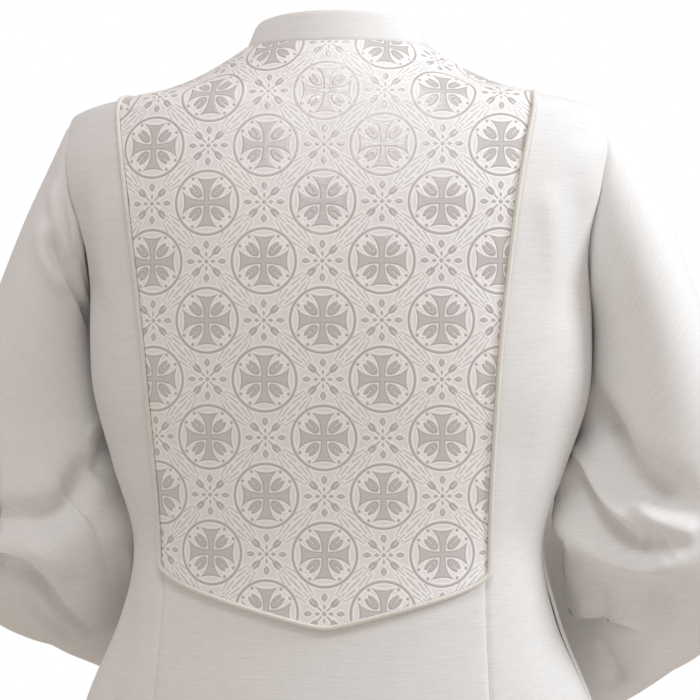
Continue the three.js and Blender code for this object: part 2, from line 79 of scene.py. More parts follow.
# Horizontal sections of the body, each a superellipse.
BODY = table(
    "z half_width back front square",
    (0, 84, 68, 62, 2.1),
    (-10, 99, 76, 67, 2.1),
    (-27, 129, 86, 75, 2.1),
    (-39, 161, 91, 79, 2.15),
    (-45, 192, 93, 81, 2.15),
    (-50, 219, 95, 83, 2.2),
    (-56, 237, 98, 86, 2.2),
    (-62, 247, 100, 88, 2.2),
    (-80, 256, 106, 95, 2.25),
    (-102, 262, 112, 102, 2.3),
    (-130, 259, 118, 110, 2.35),
    (-152, 253, 121, 115, 2.4),
    (-198, 239, 124, 121, 2.4),
    (-225, 234, 124, 122, 2.4),
    (-300, 229, 119, 119, 2.4),
    (-380, 209, 110, 114, 2.35),
    (-455, 189, 106, 112, 2.3),
    (-520, 203, 111, 116, 2.25),
    (-600, 234, 124, 126, 2.2),
    (-800, 288, 150, 150, 2.1),
    (-1000, 332, 174, 171, 2.05),
    (-1200, 372, 196, 190, 2),
    (-1380, 404, 214, 205, 2),
)

# Half width of the back centre panel: the princess seam, and the brocade's side above its corner. It
# keeps its width down to the shoulder's tip, so that both sides of a shoulder seam meet.
PRINCESS = table(
    "z x",
    (SHOULDER_TIP_Z, 184),
    (-150, 170),
    (-300, 154),
    (-471, 145),
    (-600, 151),
    (-900, 186),
    (-1380, 246),
)

# Vertical flutes of the skirt: the place round the robe, where 0 is the centre back and 1 the left side
# seam, then the width, the depth, the height of the top and the drift.
FLUTES = [
    (0.02, 0.1, 13, -800, 0.0),
    (0.27, 0.1, 19, -640, 0.02),
    (-0.25, 0.09, 17, -680, -0.02),
    (0.53, 0.09, 25, -560, 0.0),
    (-0.5, 0.1, 27, -540, 0.02),
    (0.79, 0.08, 31, -470, -0.02),
    (-0.77, 0.085, 33, -470, 0.03),
    (1.06, 0.085, 27, -520, 0.02),
    (-1.07, 0.08, 25, -540, -0.02),
    (1.32, 0.09, 29, -500, 0.01),
    (-1.35, 0.09, 27, -520, -0.01),
    (1.58, 0.085, 23, -600, 0.0),
    (-1.61, 0.09, 25, -580, 0.0),
    (1.82, 0.07, 15, -700, 0.0),
    (-1.83, 0.07, 13, -720, 0.0),
]
FLUTE_FILLING = 1.6  # how much faster than it grows a flute fills out

# How far the arm presses the robe in at the side seam.
ARM_PRESS = table("z depth", (-62, 0), (-150, 2), (-225, 4), (-320, 1), (-400, 0.5), (-460, 0))
ARM_PRESS_WIDTH = 0.2

# Sleeve sections from the armhole to the cuff: the shoulder-tip line, the underarm line, the axis
# across the arm and its reach to the back and to the front.
SLEEVE_LEFT = [
    ((268, 0, -106), (232, -4, -241), (0, 1, 0), (60, 60)),
    ((291, 0, -156), (232, -26, -264), (0, 1, -0.04), (74, 60)),
    ((320, -2, -225), (227, -42, -298), (0, 1, -0.1), (78, 66)),
    ((351, -6, -298), (218, -48, -340), (0, 1, -0.18), (78, 70)),
    ((378, -14, -362), (206, -44, -388), (0, 0.95, -0.3), (80, 76)),
    ((394, -38, -420), (204, -46, -428), (0.03, 0.8, -0.6), (86, 72)),
    ((382, -78, -450), (205, -80, -450), (0, 0.55, -0.85), (105, 74)),
    ((352, -122, -467), (200, -99, -465), (-0.03, 0.2, -0.98), (101, 78)),
    ((304, -170, -480), (172, -126, -480), (-0.05, 0.1, -0.99), (118, 86)),
    ((240, -214, -491), (138, -157, -494), (-0.05, 0.05, -1), (120, 94)),
    ((194, -247, -499), (108, -182, -503), (-0.05, 0.05, -1), (126, 101)),
    ((150, -278, -506), (76, -208, -512), (-0.05, 0.05, -1), (138, 106)),
]
SLEEVE_RIGHT = [
    ((275, 0, -104), (232, -4, -241), (0, 1, 0), (60, 60)),
    ((303, 0, -158), (231, -28, -264), (0, 1, -0.04), (76, 60)),
    ((329, -2, -228), (226, -46, -300), (0, 1, -0.1), (80, 64)),
    ((356, -6, -304), (217, -52, -344), (0, 1, -0.18), (82, 68)),
    ((380, -14, -370), (210, -44, -394), (0, 0.95, -0.3), (80, 76)),
    ((396, -36, -430), (215, -46, -438), (0.03, 0.8, -0.6), (88, 74)),
    ((386, -78, -462), (216, -80, -462), (0, 0.55, -0.85), (107, 76)),
    ((358, -122, -482), (204, -99, -480), (-0.03, 0.2, -0.98), (108, 80)),
    ((308, -170, -497), (174, -126, -496), (-0.05, 0.1, -0.99), (130, 88)),
    ((242, -214, -508), (138, -157, -508), (-0.05, 0.05, -1), (132, 95)),
    ((194, -247, -515), (108, -182, -516), (-0.05, 0.05, -1), (138, 101)),
    ((150, -278, -522), (76, -208, -526), (-0.05, 0.05, -1), (146, 106)),
]
CAD_SLEEVE_ROWS = 26

# The camera, in metres, and the photograph's frame in pixels.
CAMERA_PLACE = np.array((-0.2410, 2.1880, -0.276))
CAMERA_TARGET = np.array((-0.011, 0.0, -0.276))
PICTURE_SIZE = 700
FOCAL_PIXELS = 2391.0
SENSOR_WIDTH = 36.0


# ---- small maths


def lerp(a, b, t):
    return a + (b - a) * t


def smooth(t):
    t = np.clip(t, 0, 1)
    return t * t * (3 - 2 * t)


def eased(t):
    return (1 - np.cos(np.pi * t)) / 2


def length(vectors):
    return np.linalg.norm(vectors, axis=-1, keepdims=True)


def unit(vectors):
    return vectors / np.maximum(length(vectors), 1e-9)


def column(rows, name, z):
    """A column of a table at the heights z, by monotone cubic interpolation."""
    heights, values = rows["z"][::-1], rows[name][::-1]
    z = np.clip(z, heights[0], heights[-1])
    slopes = np.diff(values) / np.diff(heights)
    before, after = slopes[:-1], slopes[1:]
    agree = before * after > 0
    inner = np.where(agree, 2 * before * after / np.where(agree, before + after, 1), 0)
    tangents = np.concatenate([slopes[:1], inner, slopes[-1:]])
    k = np.clip(np.searchsorted(heights, z, side="right") - 1, 0, len(slopes) - 1)
    span = heights[k + 1] - heights[k]
    t = (z - heights[k]) / span
    rise = values[k + 1] - values[k]
    return (
        values[k]
        + rise * t * t * (3 - 2 * t)
        + tangents[k] * span * t * (1 - t) ** 2
        - tangents[k + 1] * span * t * t * (1 - t)
    )


def spline(points, t, power=0.25):
    """Points at the shares t of a Catmull-Rom curve, with its steps weighted as in the CAD."""
    points = np.asarray(points, float)
    ends = [2 * points[0] - points[1], *points, 2 * points[-1] - points[-2]]
    knots = np.array(ends)
    place = np.clip(np.asarray(t, float), 0, 1) * (len(points) - 1)
    k = np.minimum(place.astype(int), len(points) - 2)
    w = (place - k)[..., None]
    p0, p1, p2, p3 = (knots[k + i] for i in range(4))
    d0, d1, d2 = (
        np.maximum(np.sum((b - a) ** 2, axis=-1, keepdims=True), 1e-9) ** power
        for a, b in ((p0, p1), (p1, p2), (p2, p3))
    )
    t1 = ((p1 - p0) / d0 - (p2 - p0) / (d0 + d1) + (p2 - p1) / d1) * d1
    t2 = ((p2 - p1) / d1 - (p3 - p1) / (d1 + d2) + (p3 - p2) / d2) * d1
    return p1 + t1 * w + (-3 * p1 + 3 * p2 - 2 * t1 - t2) * w**2 + (2 * p1 - 2 * p2 + t1 + t2) * w**3


def even_line(points, count):
    """Evenly spaced points on a smooth line through a few marks."""
    fine = spline(points, np.linspace(0, 1, 8 * count))
    run = arc(fine, 0)
    spots = np.linspace(0, run[-1], count)
    return np.stack([np.interp(spots, run, fine[:, i]) for i in range(fine.shape[1])], axis=-1)


def arc(points, axis):
    """Length along a grid's rows or columns from its first point."""
    steps = np.linalg.norm(np.diff(points, axis=axis), axis=-1)
    return np.insert(np.cumsum(steps, axis=axis), 0, 0, axis=axis)


def grid_normals(points, around=False):
    """Unit normals of a grid of points, rows by columns."""
    down = np.gradient(points, axis=0)
    if around:
        across = np.roll(points, -1, axis=1) - np.roll(points, 1, axis=1)
    else:
        across = np.gradient(points, axis=1)
    return unit(np.cross(down, across))


# ---- the camera and its picture


def camera_axes():
    """The camera's right, up and forward directions."""
    forward = unit(CAMERA_TARGET - CAMERA_PLACE)
    right = unit(np.cross(forward, (0, 0, 1)))
    return right, np.cross(right, forward), forward


def in_picture(points):
    """Where points in millimetres show in the photograph, in its pixels, and how deep they lie."""
    right, up, forward = camera_axes()
    ray = points / METRE - CAMERA_PLACE
    depth = ray @ forward
    middle = PICTURE_SIZE / 2
    pixels = [middle + FOCAL_PIXELS * (ray @ right) / depth, middle - FOCAL_PIXELS * (ray @ up) / depth]
    return np.stack(pixels, axis=-1), depth * METRE


def make_camera():
    right, up, forward = camera_axes()
    data = bpy.data.cameras.new("camera")
    data.sensor_width = SENSOR_WIDTH
    data.lens = FOCAL_PIXELS / PICTURE_SIZE * SENSOR_WIDTH
    camera = bpy.data.objects.new("camera", data)
    turn = Matrix([right, up, -forward]).transposed().to_4x4()
    camera.matrix_world = Matrix.Translation(Vector(CAMERA_PLACE)) @ turn
    bpy.context.scene.collection.objects.link(camera)
    bpy.context.scene.camera = camera


# ---- creases


def polyline_distance(points, line):
    """How far points lie from a line of points, and the share of the line where they are nearest."""
    nearest = np.full(len(points), np.inf)
    share = np.zeros(len(points))
    along = arc(line, 0)
    for k in range(len(line) - 1):
        a, b = line[k], line[k + 1]
        step = b - a
        t = np.clip((points - a) @ step / max(step @ step, 1e-9), 0, 1)
        gap = np.linalg.norm(points - a - t[:, None] * step, axis=1)
        closer = gap < nearest
        nearest = np.where(closer, gap, nearest)
        share = np.where(closer, (along[k] + t * (along[k + 1] - along[k])) / along[-1], share)
    return nearest, share


def crease_relief(points, line, width, depth, start=0.25, end=0.25):
    """The height of one crease at points: a trough where depth is negative, fading at its ends."""
    gap, share = polyline_distance(points, line)
    fade = smooth(share / start) * smooth((1 - share) / end)
    return depth * fade * np.exp(-((gap / width) ** 2))


DRAPE_LIP = 2.4  # width of the step at the rim of a drape
DRAPE_OVERHANG = 0.55  # how far the rim reaches over what is below it, in shares of its height
DRAPE_HOLLOW = 0.35  # how far the cloth below the rim lies in, in shares of its height


def drape_shift(points, normals, line, height, reach, start=0.2, end=0.2):
    """The move of a drape whose rim is a line, walked with the drape on its left as seen from outside."""
    gap, share = polyline_distance(points, line)
    spots = np.linspace(0, 1, len(line))
    nearest = np.stack([np.interp(share, spots, line[:, i]) for i in range(3)], axis=-1)
    along = np.stack([np.interp(share, spots, np.gradient(line[:, i])) for i in range(3)], axis=-1)
    inward = unit(np.cross(normals, along))
    inside = np.sign(np.sum((points - nearest) * inward, axis=-1)) * gap
    size = height * smooth(share / start) * smooth((1 - share) / end)
    step = smooth(inside / DRAPE_LIP + 0.5)
    swell = step * np.exp(-((inside / reach) ** 2))
    hollow = DRAPE_HOLLOW * (1 - step) * np.exp(-((inside / height) ** 2))
    rim = DRAPE_OVERHANG * step * np.exp(-((inside / height) ** 2))
    return normals * (size * (swell - hollow))[:, None] - inward * (size * rim)[:, None]


def crease(width, depth, *points, **ends):
    """A crease through a few points: a trough where depth is below nothing, and a ridge above it."""
    return dict(width=width, depth=depth, points=points, ends=ends)


def drape(height, reach, *points, **ends):
    """A drape that hangs over what is below its rim, which runs through a few points."""
    return dict(height=height, reach=reach, points=points, ends=ends)


# Creases of the body's back and of its front, by x and z in millimetres.
BACK_CREASES = [
    crease(13, -5, (226, -112), (228, -160), (222, -215), (210, -262)),
    crease(11, 2.2, (204, -128), (206, -190), (198, -250)),
    crease(14, -4.5, (-212, -106), (-222, -150), (-220, -205), (-208, -270)),
    crease(10, 2, (-190, -120), (-200, -190), (-196, -250)),
    crease(12, 4.5, (-240, -150), (-232, -225), (-229, -290), (-222, -370), (-213, -460)),
    crease(12, -1.6, (186, -330), (178, -400), (172, -470)),
    crease(14, -1.8, (-176, -330), (-168, -420), (-172, -500)),
    crease(16, -3.5, (196, -440), (190, -520), (206, -610), (228, -720)),
    crease(18, -4.5, (-190, -430), (-196, -520), (-222, -620), (-246, -740)),
    crease(22, -2.2, (96, -560), (104, -700), (118, -860)),
    crease(24, -2.5, (-60, -620), (-72, -780), (-84, -960)),
    crease(20, 1.6, (20, -560), (18, -700), (24, -840)),
]
FRONT_CREASES = [
    crease(13, -5, (205, -110), (196, -170), (176, -240), (160, -300)),
    crease(14, -5, (-207, -112), (-194, -180), (-170, -250)),
    crease(12, 4.5, (-240, -150), (-232, -225), (-229, -290), (-222, -370), (-213, -460)),
    crease(16, -3, (140, -120), (128, -200), (122, -290)),
    crease(15, -2.6, (-128, -110), (-120, -180), (-108, -260)),
    crease(18, 2.6, (96, -240), (88, -360), (92, -480)),
    crease(17, 2.8, (-90, -260), (-84, -380), (-90, -500)),
    crease(18, -5, (150, -440), (162, -560), (182, -700)),
    crease(18, -5, (-150, -430), (-160, -560), (-186, -720)),
    crease(20, -4, (64, -520), (60, -660), (66, -820)),
    crease(20, -4, (-62, -540), (-66, -700), (-60, -860)),
]


BODY_CREASE_STEPS = 24
BODY_CREASE_ENDS = dict(start=0.3, end=0.35)


def body_relief(side, x, z):
    """How far the creases lift the body's cloth at x and z."""
    spots = np.stack([np.ravel(x), np.ravel(z)], axis=-1)
    relief = np.zeros(len(spots))
    for fold in BACK_CREASES if side > 0 else FRONT_CREASES:
        line = even_line(fold["points"], BODY_CREASE_STEPS)
        relief += crease_relief(spots, line, fold["width"], fold["depth"], **BODY_CREASE_ENDS)
    return relief.reshape(np.shape(x))


# ---- the body's form


SHOULDER_SAMPLES = 800
SHOULDER_HEIGHTS = np.linspace(SHOULDER_TIP_Z, 0, SHOULDER_SAMPLES)
SHOULDER_WIDTHS = column(BODY, "half_width", SHOULDER_HEIGHTS)


def shoulder_height(x):
    """Height of the shoulder line at x: where the body's half width is x."""
    return np.interp(x, SHOULDER_WIDTHS[::-1], SHOULDER_HEIGHTS[::-1])


def fold_depth(turn, z):
    """How far the cloth stands out of the plain section at a place round the robe."""
    depth = -column(ARM_PRESS, "depth", z) * np.exp(-(((np.abs(turn) - 1) / ARM_PRESS_WIDTH) ** 2))
    for place, width, deepest, top, drift in FLUTES:
        grown = np.maximum(0, (top - z) / (top - HEM_Z))
        off = (turn - place - drift * grown) / width
        depth = depth + deepest * grown * smooth(grown * FLUTE_FILLING) * np.exp(-(off**2))
    return depth


def on_body(side, x, z):
    """The body's points and normals at x and z, on its back (side 1) or its front (side -1)."""
    x, z = np.broadcast_arrays(np.asarray(x, float), np.asarray(z, float))
    face = "back" if side > 0 else "front"
    half_width, depth, square = (column(BODY, name, z) for name in ("half_width", face, "square"))
    share = np.minimum(1, np.abs(x) / half_width)
    rise = np.maximum(0, 1 - share**square) ** (1 / square)
    quarter = np.arcsin(share) * 2 / np.pi
    turn = np.where(x < 0, -1, 1) * (quarter if side > 0 else 2 - quarter)
    widening = (column(BODY, "half_width", z + 1) - column(BODY, "half_width", z - 1)) / 2 / half_width
    deepening = (column(BODY, face, z + 1) - column(BODY, face, z - 1)) / 2 / depth
    normal = unit(
        np.stack(
            [
                np.sign(x) * share ** (square - 1) / half_width,
                side * rise ** (square - 1) / depth,
                -(share**square * widening + rise**square * deepening),
            ],
            axis=-1,
        )
    )
    level = unit(normal * (1, 1, 0))
    point = np.stack([x, side * depth * rise, z], axis=-1) + level * fold_depth(turn, z)[..., None]
    return point, normal


def outer_edge(side, z):
    """Outer edge of the body's panels at z: the armhole's edge, and the side seam below it."""
    height = np.minimum(z, SHOULDER_TIP_Z)
    half_width, square = column(BODY, "half_width", height), column(BODY, "square", height)
    depth = column(BODY, "back" if side > 0 else "front", height)
    cosine = np.clip((2 * height - SHOULDER_TIP_Z - UNDERARM_Z) / (SHOULDER_TIP_Z - UNDERARM_Z), -1, 1)
    reach = ARMHOLE_BACK_DEPTH if side > 0 else ARMHOLE_FRONT_DEPTH
    hole = reach * np.sqrt(1 - cosine**2) ** ARMHOLE_ROUND
    cut = half_width * (1 - (hole / depth) ** square) ** (1 / square)
    return np.where(height <= UNDERARM_Z, half_width, cut)


def even_share(z, start, end, share):
    """The share of a width that a column takes when columns are spread evenly round the section."""
    half_width = column(BODY, "half_width", z)
    first, last = (np.arcsin(np.minimum(1, edge / half_width)) for edge in (start, end))
    return (half_width * np.sin(lerp(first, last, share)) - start) / (end - start)


def neck_x(share):
    return NECK_HALF_WIDTH * np.sin(np.pi / 2 * share)


def top_height(side, x):
    x = np.abs(x)
    open_share = np.sqrt(np.maximum(0, 1 - (x / NECK_HALF_WIDTH) ** 2))
    neck = np.zeros_like(x) if side > 0 else -NECK_FRONT_DROP * open_share**NECK_FRONT_ROUND
    return np.where(x < NECK_HALF_WIDTH - 0.001, neck, shoulder_height(x))


# The share of a centre panel's columns that starts on the neckline, and of a front panel's.
NECK_SHARE_BACK = 6 / 10
NECK_SHARE_FRONT = 6 / 15

SKIRT_ROW_SPREAD = 1.15  # above 1, the skirt's rows lie farther apart towards the hem


def rows_down(top_z, yoke_rows, skirt_rows):
    """Heights of a panel's rows, and how far each has settled into evenly spread columns."""
    down = np.linspace(0, 1, yoke_rows + 1)[:, None]
    yoke = lerp(top_z[None, :], UNDERARM_Z, eased(down))
    skirt = lerp(UNDERARM_Z, HEM_Z, np.linspace(0, 1, skirt_rows + 1)[1:, None] ** SKIRT_ROW_SPREAD)
    heights = np.concatenate([yoke, np.repeat(skirt, len(top_z), axis=1)])
    settled = np.concatenate([smooth(down), np.ones_like(skirt)])
    return heights, np.repeat(settled, len(top_z), axis=1)


# Where the columns beside an edge lie, and how wide their strip is, in units of its fineness.
EDGE_STEPS = np.array([0.0, 0.35, 0.8, 1.5, 2.6])
EDGE_WIDTH = 4


def edged(count, fine=0.004):
    """Shares from 0 to 1, with a few close to each end for a rolled edge."""
    ends = fine * EDGE_STEPS
    middle = np.linspace(EDGE_WIDTH * fine, 1 - EDGE_WIDTH * fine, count)
    return np.concatenate([ends, middle, 1 - ends[::-1]])


def seam_x(hand, z):
    """How far a princess seam is from the centre line: hand is 1 for the left one and -1 for the right."""
    return column(PRINCESS, "x", z) + hand * PANEL_SHIFT


def centre_top(share):
    """Where a column of the back centre panel starts, from the signed share of its half width."""
    size = np.abs(share)
    past = (size - NECK_SHARE_BACK) / (1 - NECK_SHARE_BACK)
    shoulder = lerp(NECK_HALF_WIDTH, seam_x(np.sign(share), 0.0), past)
    return np.where(size <= NECK_SHARE_BACK, neck_x(size / NECK_SHARE_BACK), shoulder)


def centre_x(share, z, settled):
    """x of the back centre panel's columns at the signed shares of its half width."""
    hand, size = np.sign(share), np.abs(share)
    seam = seam_x(hand, z)
    return hand * seam * lerp(centre_top(share) / seam_x(hand, 0.0), even_share(z, 0, seam, size), settled)


def centre_grid(yoke_rows=60, skirt_rows=130, columns=60):
    """x and z of the back centre panel."""
    share = 2 * edged(columns) - 1
    z, settled = rows_down(top_height(1, centre_top(share)), yoke_rows, skirt_rows)
    return centre_x(share[None, :], z, settled), z


def side_grid(hand, yoke_rows=60, skirt_rows=130, columns=34):
    """x and z of a back side panel, from the princess seam out."""
    share = edged(columns, 0.007)
    top = top_height(1, lerp(seam_x(hand, 0.0), SHOULDER_TIP_X, share))
    z, settled = rows_down(top, yoke_rows, skirt_rows)
    seam, edge = seam_x(hand, z), outer_edge(1, z)
    across = share[None, :]
    return hand * lerp(seam, edge, lerp(across, even_share(z, seam, edge, across), settled)), z


def front_grid(hand, yoke_rows=60, skirt_rows=130, columns=70, lap_columns=6):
    """x and z of a front panel, from the edge of its lap past the centre line to the outer edge."""
    share = edged(columns, 0.004)[3:]
    past = (share - NECK_SHARE_FRONT) / (1 - NECK_SHARE_FRONT)
    shoulder = lerp(NECK_HALF_WIDTH, SHOULDER_TIP_X, past)
    start = np.where(share <= NECK_SHARE_FRONT, neck_x(share / NECK_SHARE_FRONT), shoulder)
    lap = -FRONT_LAP * (1 - edged(lap_columns, 0.03))[: -len(EDGE_STEPS)]
    top = top_height(-1, np.concatenate([np.abs(lap), start]))
    z, settled = rows_down(top, yoke_rows, skirt_rows)
    edge = outer_edge(-1, z)
    cloth = edge * lerp(
        np.concatenate([lap, start])[None, :] / SHOULDER_TIP_X,
        even_share(z, 0, edge, np.concatenate([np.zeros_like(lap), share])[None, :]),
        settled,
    )
    cloth[:, : len(lap)] = lap[None, :]
    return hand * cloth, z


# ---- meshes


def quad_mesh(name, vertices, quads, uv):
    """A mesh of quads in metres, with a UV map in metres that has one place for each corner."""
    mesh = bpy.data.meshes.new(name)
    mesh.vertices.add(len(vertices))
    mesh.vertices.foreach_set("co", (vertices / METRE).astype(np.float32).ravel())
    mesh.loops.add(quads.size)
    mesh.loops.foreach_set("vertex_index", quads.astype(np.int32).ravel())
    mesh.polygons.add(len(quads))
    mesh.polygons.foreach_set("loop_start", np.arange(0, quads.size, 4, dtype=np.int32))
    layer = mesh.uv_layers.new(name="cloth")
    layer.data.foreach_set("uv", (uv / METRE).astype(np.float32).ravel())
    mesh.polygons.foreach_set("use_smooth", np.ones(len(quads), dtype=bool))
    mesh.update()
    mesh.validate()
    return mesh


def add_piece(name, mesh, material, node):
    piece = bpy.data.objects.new(name, mesh)
    bpy.context.scene.collection.objects.link(piece)
    mesh.materials.append(material)
    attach(piece, "root")
    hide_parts(node)
    return piece


def shell_mesh(name, points, normals, wall, place, around=False):
    """A closed shell of cloth under a grid of points: its face, its back and its edges.

    place is the grid's place on the flat cloth, with one more column where the grid goes around."""
    rows, columns = points.shape[:2]
    vertices = np.concatenate([points.reshape(-1, 3), (points - wall * normals).reshape(-1, 3)])
    inner = rows * columns
    index = np.arange(inner).reshape(rows, columns)
    if around:
        index = np.concatenate([index, index[:, :1]], axis=1)
    spot = np.arange(index.size).reshape(index.shape)

    def corners(grid, under):
        a, b, c, d = grid[:-1, :-1], grid[1:, :-1], grid[1:, 1:], grid[:-1, 1:]
        faces = [(a, b, c, d), (under + a, under + d, under + c, under + b)]
        top, bottom, left, right = grid[0], grid[-1], grid[:, 0], grid[:, -1]
        faces.append((top[:-1], top[1:], under + top[1:], under + top[:-1]))
        faces.append((bottom[1:], bottom[:-1], under + bottom[:-1], under + bottom[1:]))
        if not around:
            faces.append((left[1:], left[:-1], under + left[:-1], under + left[1:]))
            faces.append((right[:-1], right[1:], under + right[1:], under + right[:-1]))
        return np.concatenate([np.stack([np.ravel(corner) for corner in face], axis=-1) for face in faces])

    quads, places = corners(index, inner), corners(spot, 0)
    i, j = rows // 2, columns // 2
    facing = np.cross(points[i + 1, j] - points[i, j], points[i, j + 1] - points[i, j]) @ normals[i, j]
    if facing < 0:
        quads, places = quads[:, ::-1], places[:, ::-1]
    return quad_mesh(name, vertices, quads, place.reshape(-1, 2)[places.ravel()])


ROLL_DEPTH = 1.3
ROLL_WIDTH = 2.4


def seam_roll(gap):
    """How far the cloth is rolled in at a distance from its seam."""
    return ROLL_DEPTH * np.exp(-((gap / ROLL_WIDTH) ** 2))


def rolled(points, normals, edges):
    """The grid with its cloth rolled in towards the seams: edges is any of top, left and right."""
    across, down = arc(points, 1), arc(points, 0)
    gaps = {"left": across, "right": across[:, -1:] - across, "top": down}
    roll = sum(seam_roll(gaps[edge]) for edge in edges)
    return points - normals * np.minimum(roll, ROLL_DEPTH)[..., None]


def inset(points, edges):
    """The grid with the named edges drawn in by half a seam gap."""
    points = points.copy()
    pairs = {
        "left": (np.s_[:, 0], np.s_[:, 1]),
        "right": (np.s_[:, -1], np.s_[:, -2]),
        "top": (np.s_[0], np.s_[1]),
    }
    for edge in edges:
        end, beside = pairs[edge]
        points[end] += unit(points[beside] - points[end]) * SEAM_GAP / 2
    return points


HEM_DEPTH = 30.0  # from the edge to the line of its stitches
STITCH_DIP = 0.5
STITCH_WIDTH = 1.3


def stitched(gap):
    """How far a line of stitches pulls the cloth in at a distance from the line."""
    return STITCH_DIP * np.exp(-((gap / STITCH_WIDTH) ** 2))


GRAIN_LEVEL = -300.0  # where the crosswise threads run level
PLACE_SAMPLES = 24
SECTION_LIMIT = 0.97  # how far out a lengthwise thread is followed, in shares of the half width


def cloth_place(side, x, z):
    """Where spots of the body lie on its flat cloth: across from its middle, down from the grain level."""
    steps = np.linspace(0, 1, PLACE_SAMPLES)
    across, _ = on_body(side, x[..., None] * steps, z[..., None])
    heights = lerp(GRAIN_LEVEL, z[..., None], steps)
    limit = SECTION_LIMIT * column(BODY, "half_width", heights)
    down, _ = on_body(side, np.clip(x[..., None], -limit, limit), heights)
    u, v = (np.linalg.norm(np.diff(path, axis=-2), axis=-1).sum(axis=-1) for path in (across, down))
    return np.stack([np.sign(x) * u, np.sign(GRAIN_LEVEL - z) * v], axis=-1)


def body_panel(name, side, x, z, seams, material, cut, under=0.0):
    """One creased panel of the robe's body. cut is its flat cloth's width, length and area, in metres, and
    is not used.
    """
    points, normals = on_body(side, x, z)
    dip = stitched(z - HEM_Z - HEM_DEPTH)
    points = points + normals * (body_relief(side, x, z) - under - dip)[..., None]
    points = rolled(inset(points, seams), normals, seams)
    mesh = shell_mesh(name, points, normals, WALL, cloth_place(side, x, z))
    piece = add_piece(name + "_cloth", mesh, material, name)
    return piece


# ---- sleeves


SLEEVE_RINGS = 205
SLEEVE_BACK_STEPS = 150
SLEEVE_FRONT_STEPS = 82
ALLOWANCE = 7.0  # of the sleeve's cloth inside the armhole's seam
STAND_OFF = 0.9  # of the sleeve's edge from the armhole's

# Where the sleeve leaves the armhole outwards, by the cosine to the body's normal: where that starts,
# what more makes it full, and how much of the stand-off then goes along the normal.
OUTWARD_START, OUTWARD_SPAN, OUTWARD_SHARE = -0.2, 0.5, 2

# Where the rings lie along the sleeve: closer together round the elbow, where the drape's rim is.
RING_SHARES = ((0, 0), (0.24, 0.34), (0.78, 0.62), (1, 1))


def armhole_ring(hand):
    """Points and normals of the armhole's edge, from the shoulder tip down the back and up the front."""
    down, up = (
        lerp(SHOULDER_TIP_Z, UNDERARM_Z, eased(np.linspace(0, 1, steps + 1)))
        for steps in (SLEEVE_BACK_STEPS, SLEEVE_FRONT_STEPS)
    )
    back, back_normals = on_body(1, hand * outer_edge(1, down), down)
    front, front_normals = on_body(-1, hand * outer_edge(-1, up), up)
    ring = np.concatenate([back, front[-2:0:-1]])
    return ring, np.concatenate([back_normals, front_normals[-2:0:-1]])


def sleeve_form(sections, hand):
    """Points and normals of a sleeve, ring by ring, set into the armhole."""
    ring, ring_normals = armhole_ring(hand)
    steps = len(ring)
    t = np.linspace(0, 1, CAD_SLEEVE_ROWS)
    outer, under, axis = (spline([row[i] for row in sections], t) for i in range(3))
    reach = spline([(*row[3], 0) for row in sections], t)
    centre, arm, axis = (outer + under) / 2, (outer - under) / 2, unit(axis)
    back_angle = np.pi * np.arange(SLEEVE_BACK_STEPS) / SLEEVE_BACK_STEPS
    front_angle = np.pi * (1 + np.arange(SLEEVE_FRONT_STEPS) / SLEEVE_FRONT_STEPS)
    angle = np.concatenate([back_angle, front_angle])
    cosine, sine = np.cos(angle), np.sin(angle)
    spread = np.sign(sine) * np.abs(sine) ** SLEEVE_ROUND * np.where(sine > 0, reach[:, :1], reach[:, 1:2])
    rings = centre[:, None] + arm[:, None] * cosine[None, :, None] + axis[:, None] * spread[..., None]
    rings = np.concatenate([ring[None], rings * (hand, 1, 1)])
    places, shares = zip(*RING_SHARES)
    fine = np.interp(np.linspace(0, 1, SLEEVE_RINGS + 1), places, shares)
    points = np.stack([spline(rings[:, k], fine) for k in range(steps)], axis=1)
    normals = grid_normals(points, around=True) * hand
    leaving = unit(points[1] - points[0])
    tilt = np.sum(ring_normals * leaving, axis=-1, keepdims=True)
    outward = smooth((tilt - OUTWARD_START) / OUTWARD_SPAN)
    points[0] += unit(leaving + ring_normals * OUTWARD_SHARE * outward) * STAND_OFF
    normals[0] = unit(lerp(unit(ring_normals + normals[0]), normals[0], outward))
    return points, normals, ring_normals


NEARER = 0.02  # what a millimetre of depth counts for beside a pixel, or a millimetre, across
FACING = 0.02  # the least that a spot turns to the side it is seen from


def seen_spot(points, normals, pixel):
    """The point of a grid that shows at a pixel of the photograph, nearest to the camera."""
    pixels, depth = in_picture(points)
    facing = np.sum(normals * unit(CAMERA_PLACE * METRE - points), axis=-1)
    cost = np.linalg.norm(pixels - pixel, axis=-1) + NEARER * depth
    return points[np.unravel_index(np.argmin(np.where(facing > FACING, cost, np.inf)), cost.shape)]


def front_spot(points, normals, spot):
    """The point of a grid at x and z on the side that faces the front."""
    cost = np.hypot(points[..., 0] - spot[0], points[..., 2] - spot[1]) + NEARER * points[..., 1]
    facing = -normals[..., 1]
    return points[np.unravel_index(np.argmin(np.where(facing > FACING, cost, np.inf)), cost.shape)]


SLEEVE_CREASE_STEPS = 40
ARMHOLE_FADE = 25.0  # the sleeve's creases grow over this length from the armhole


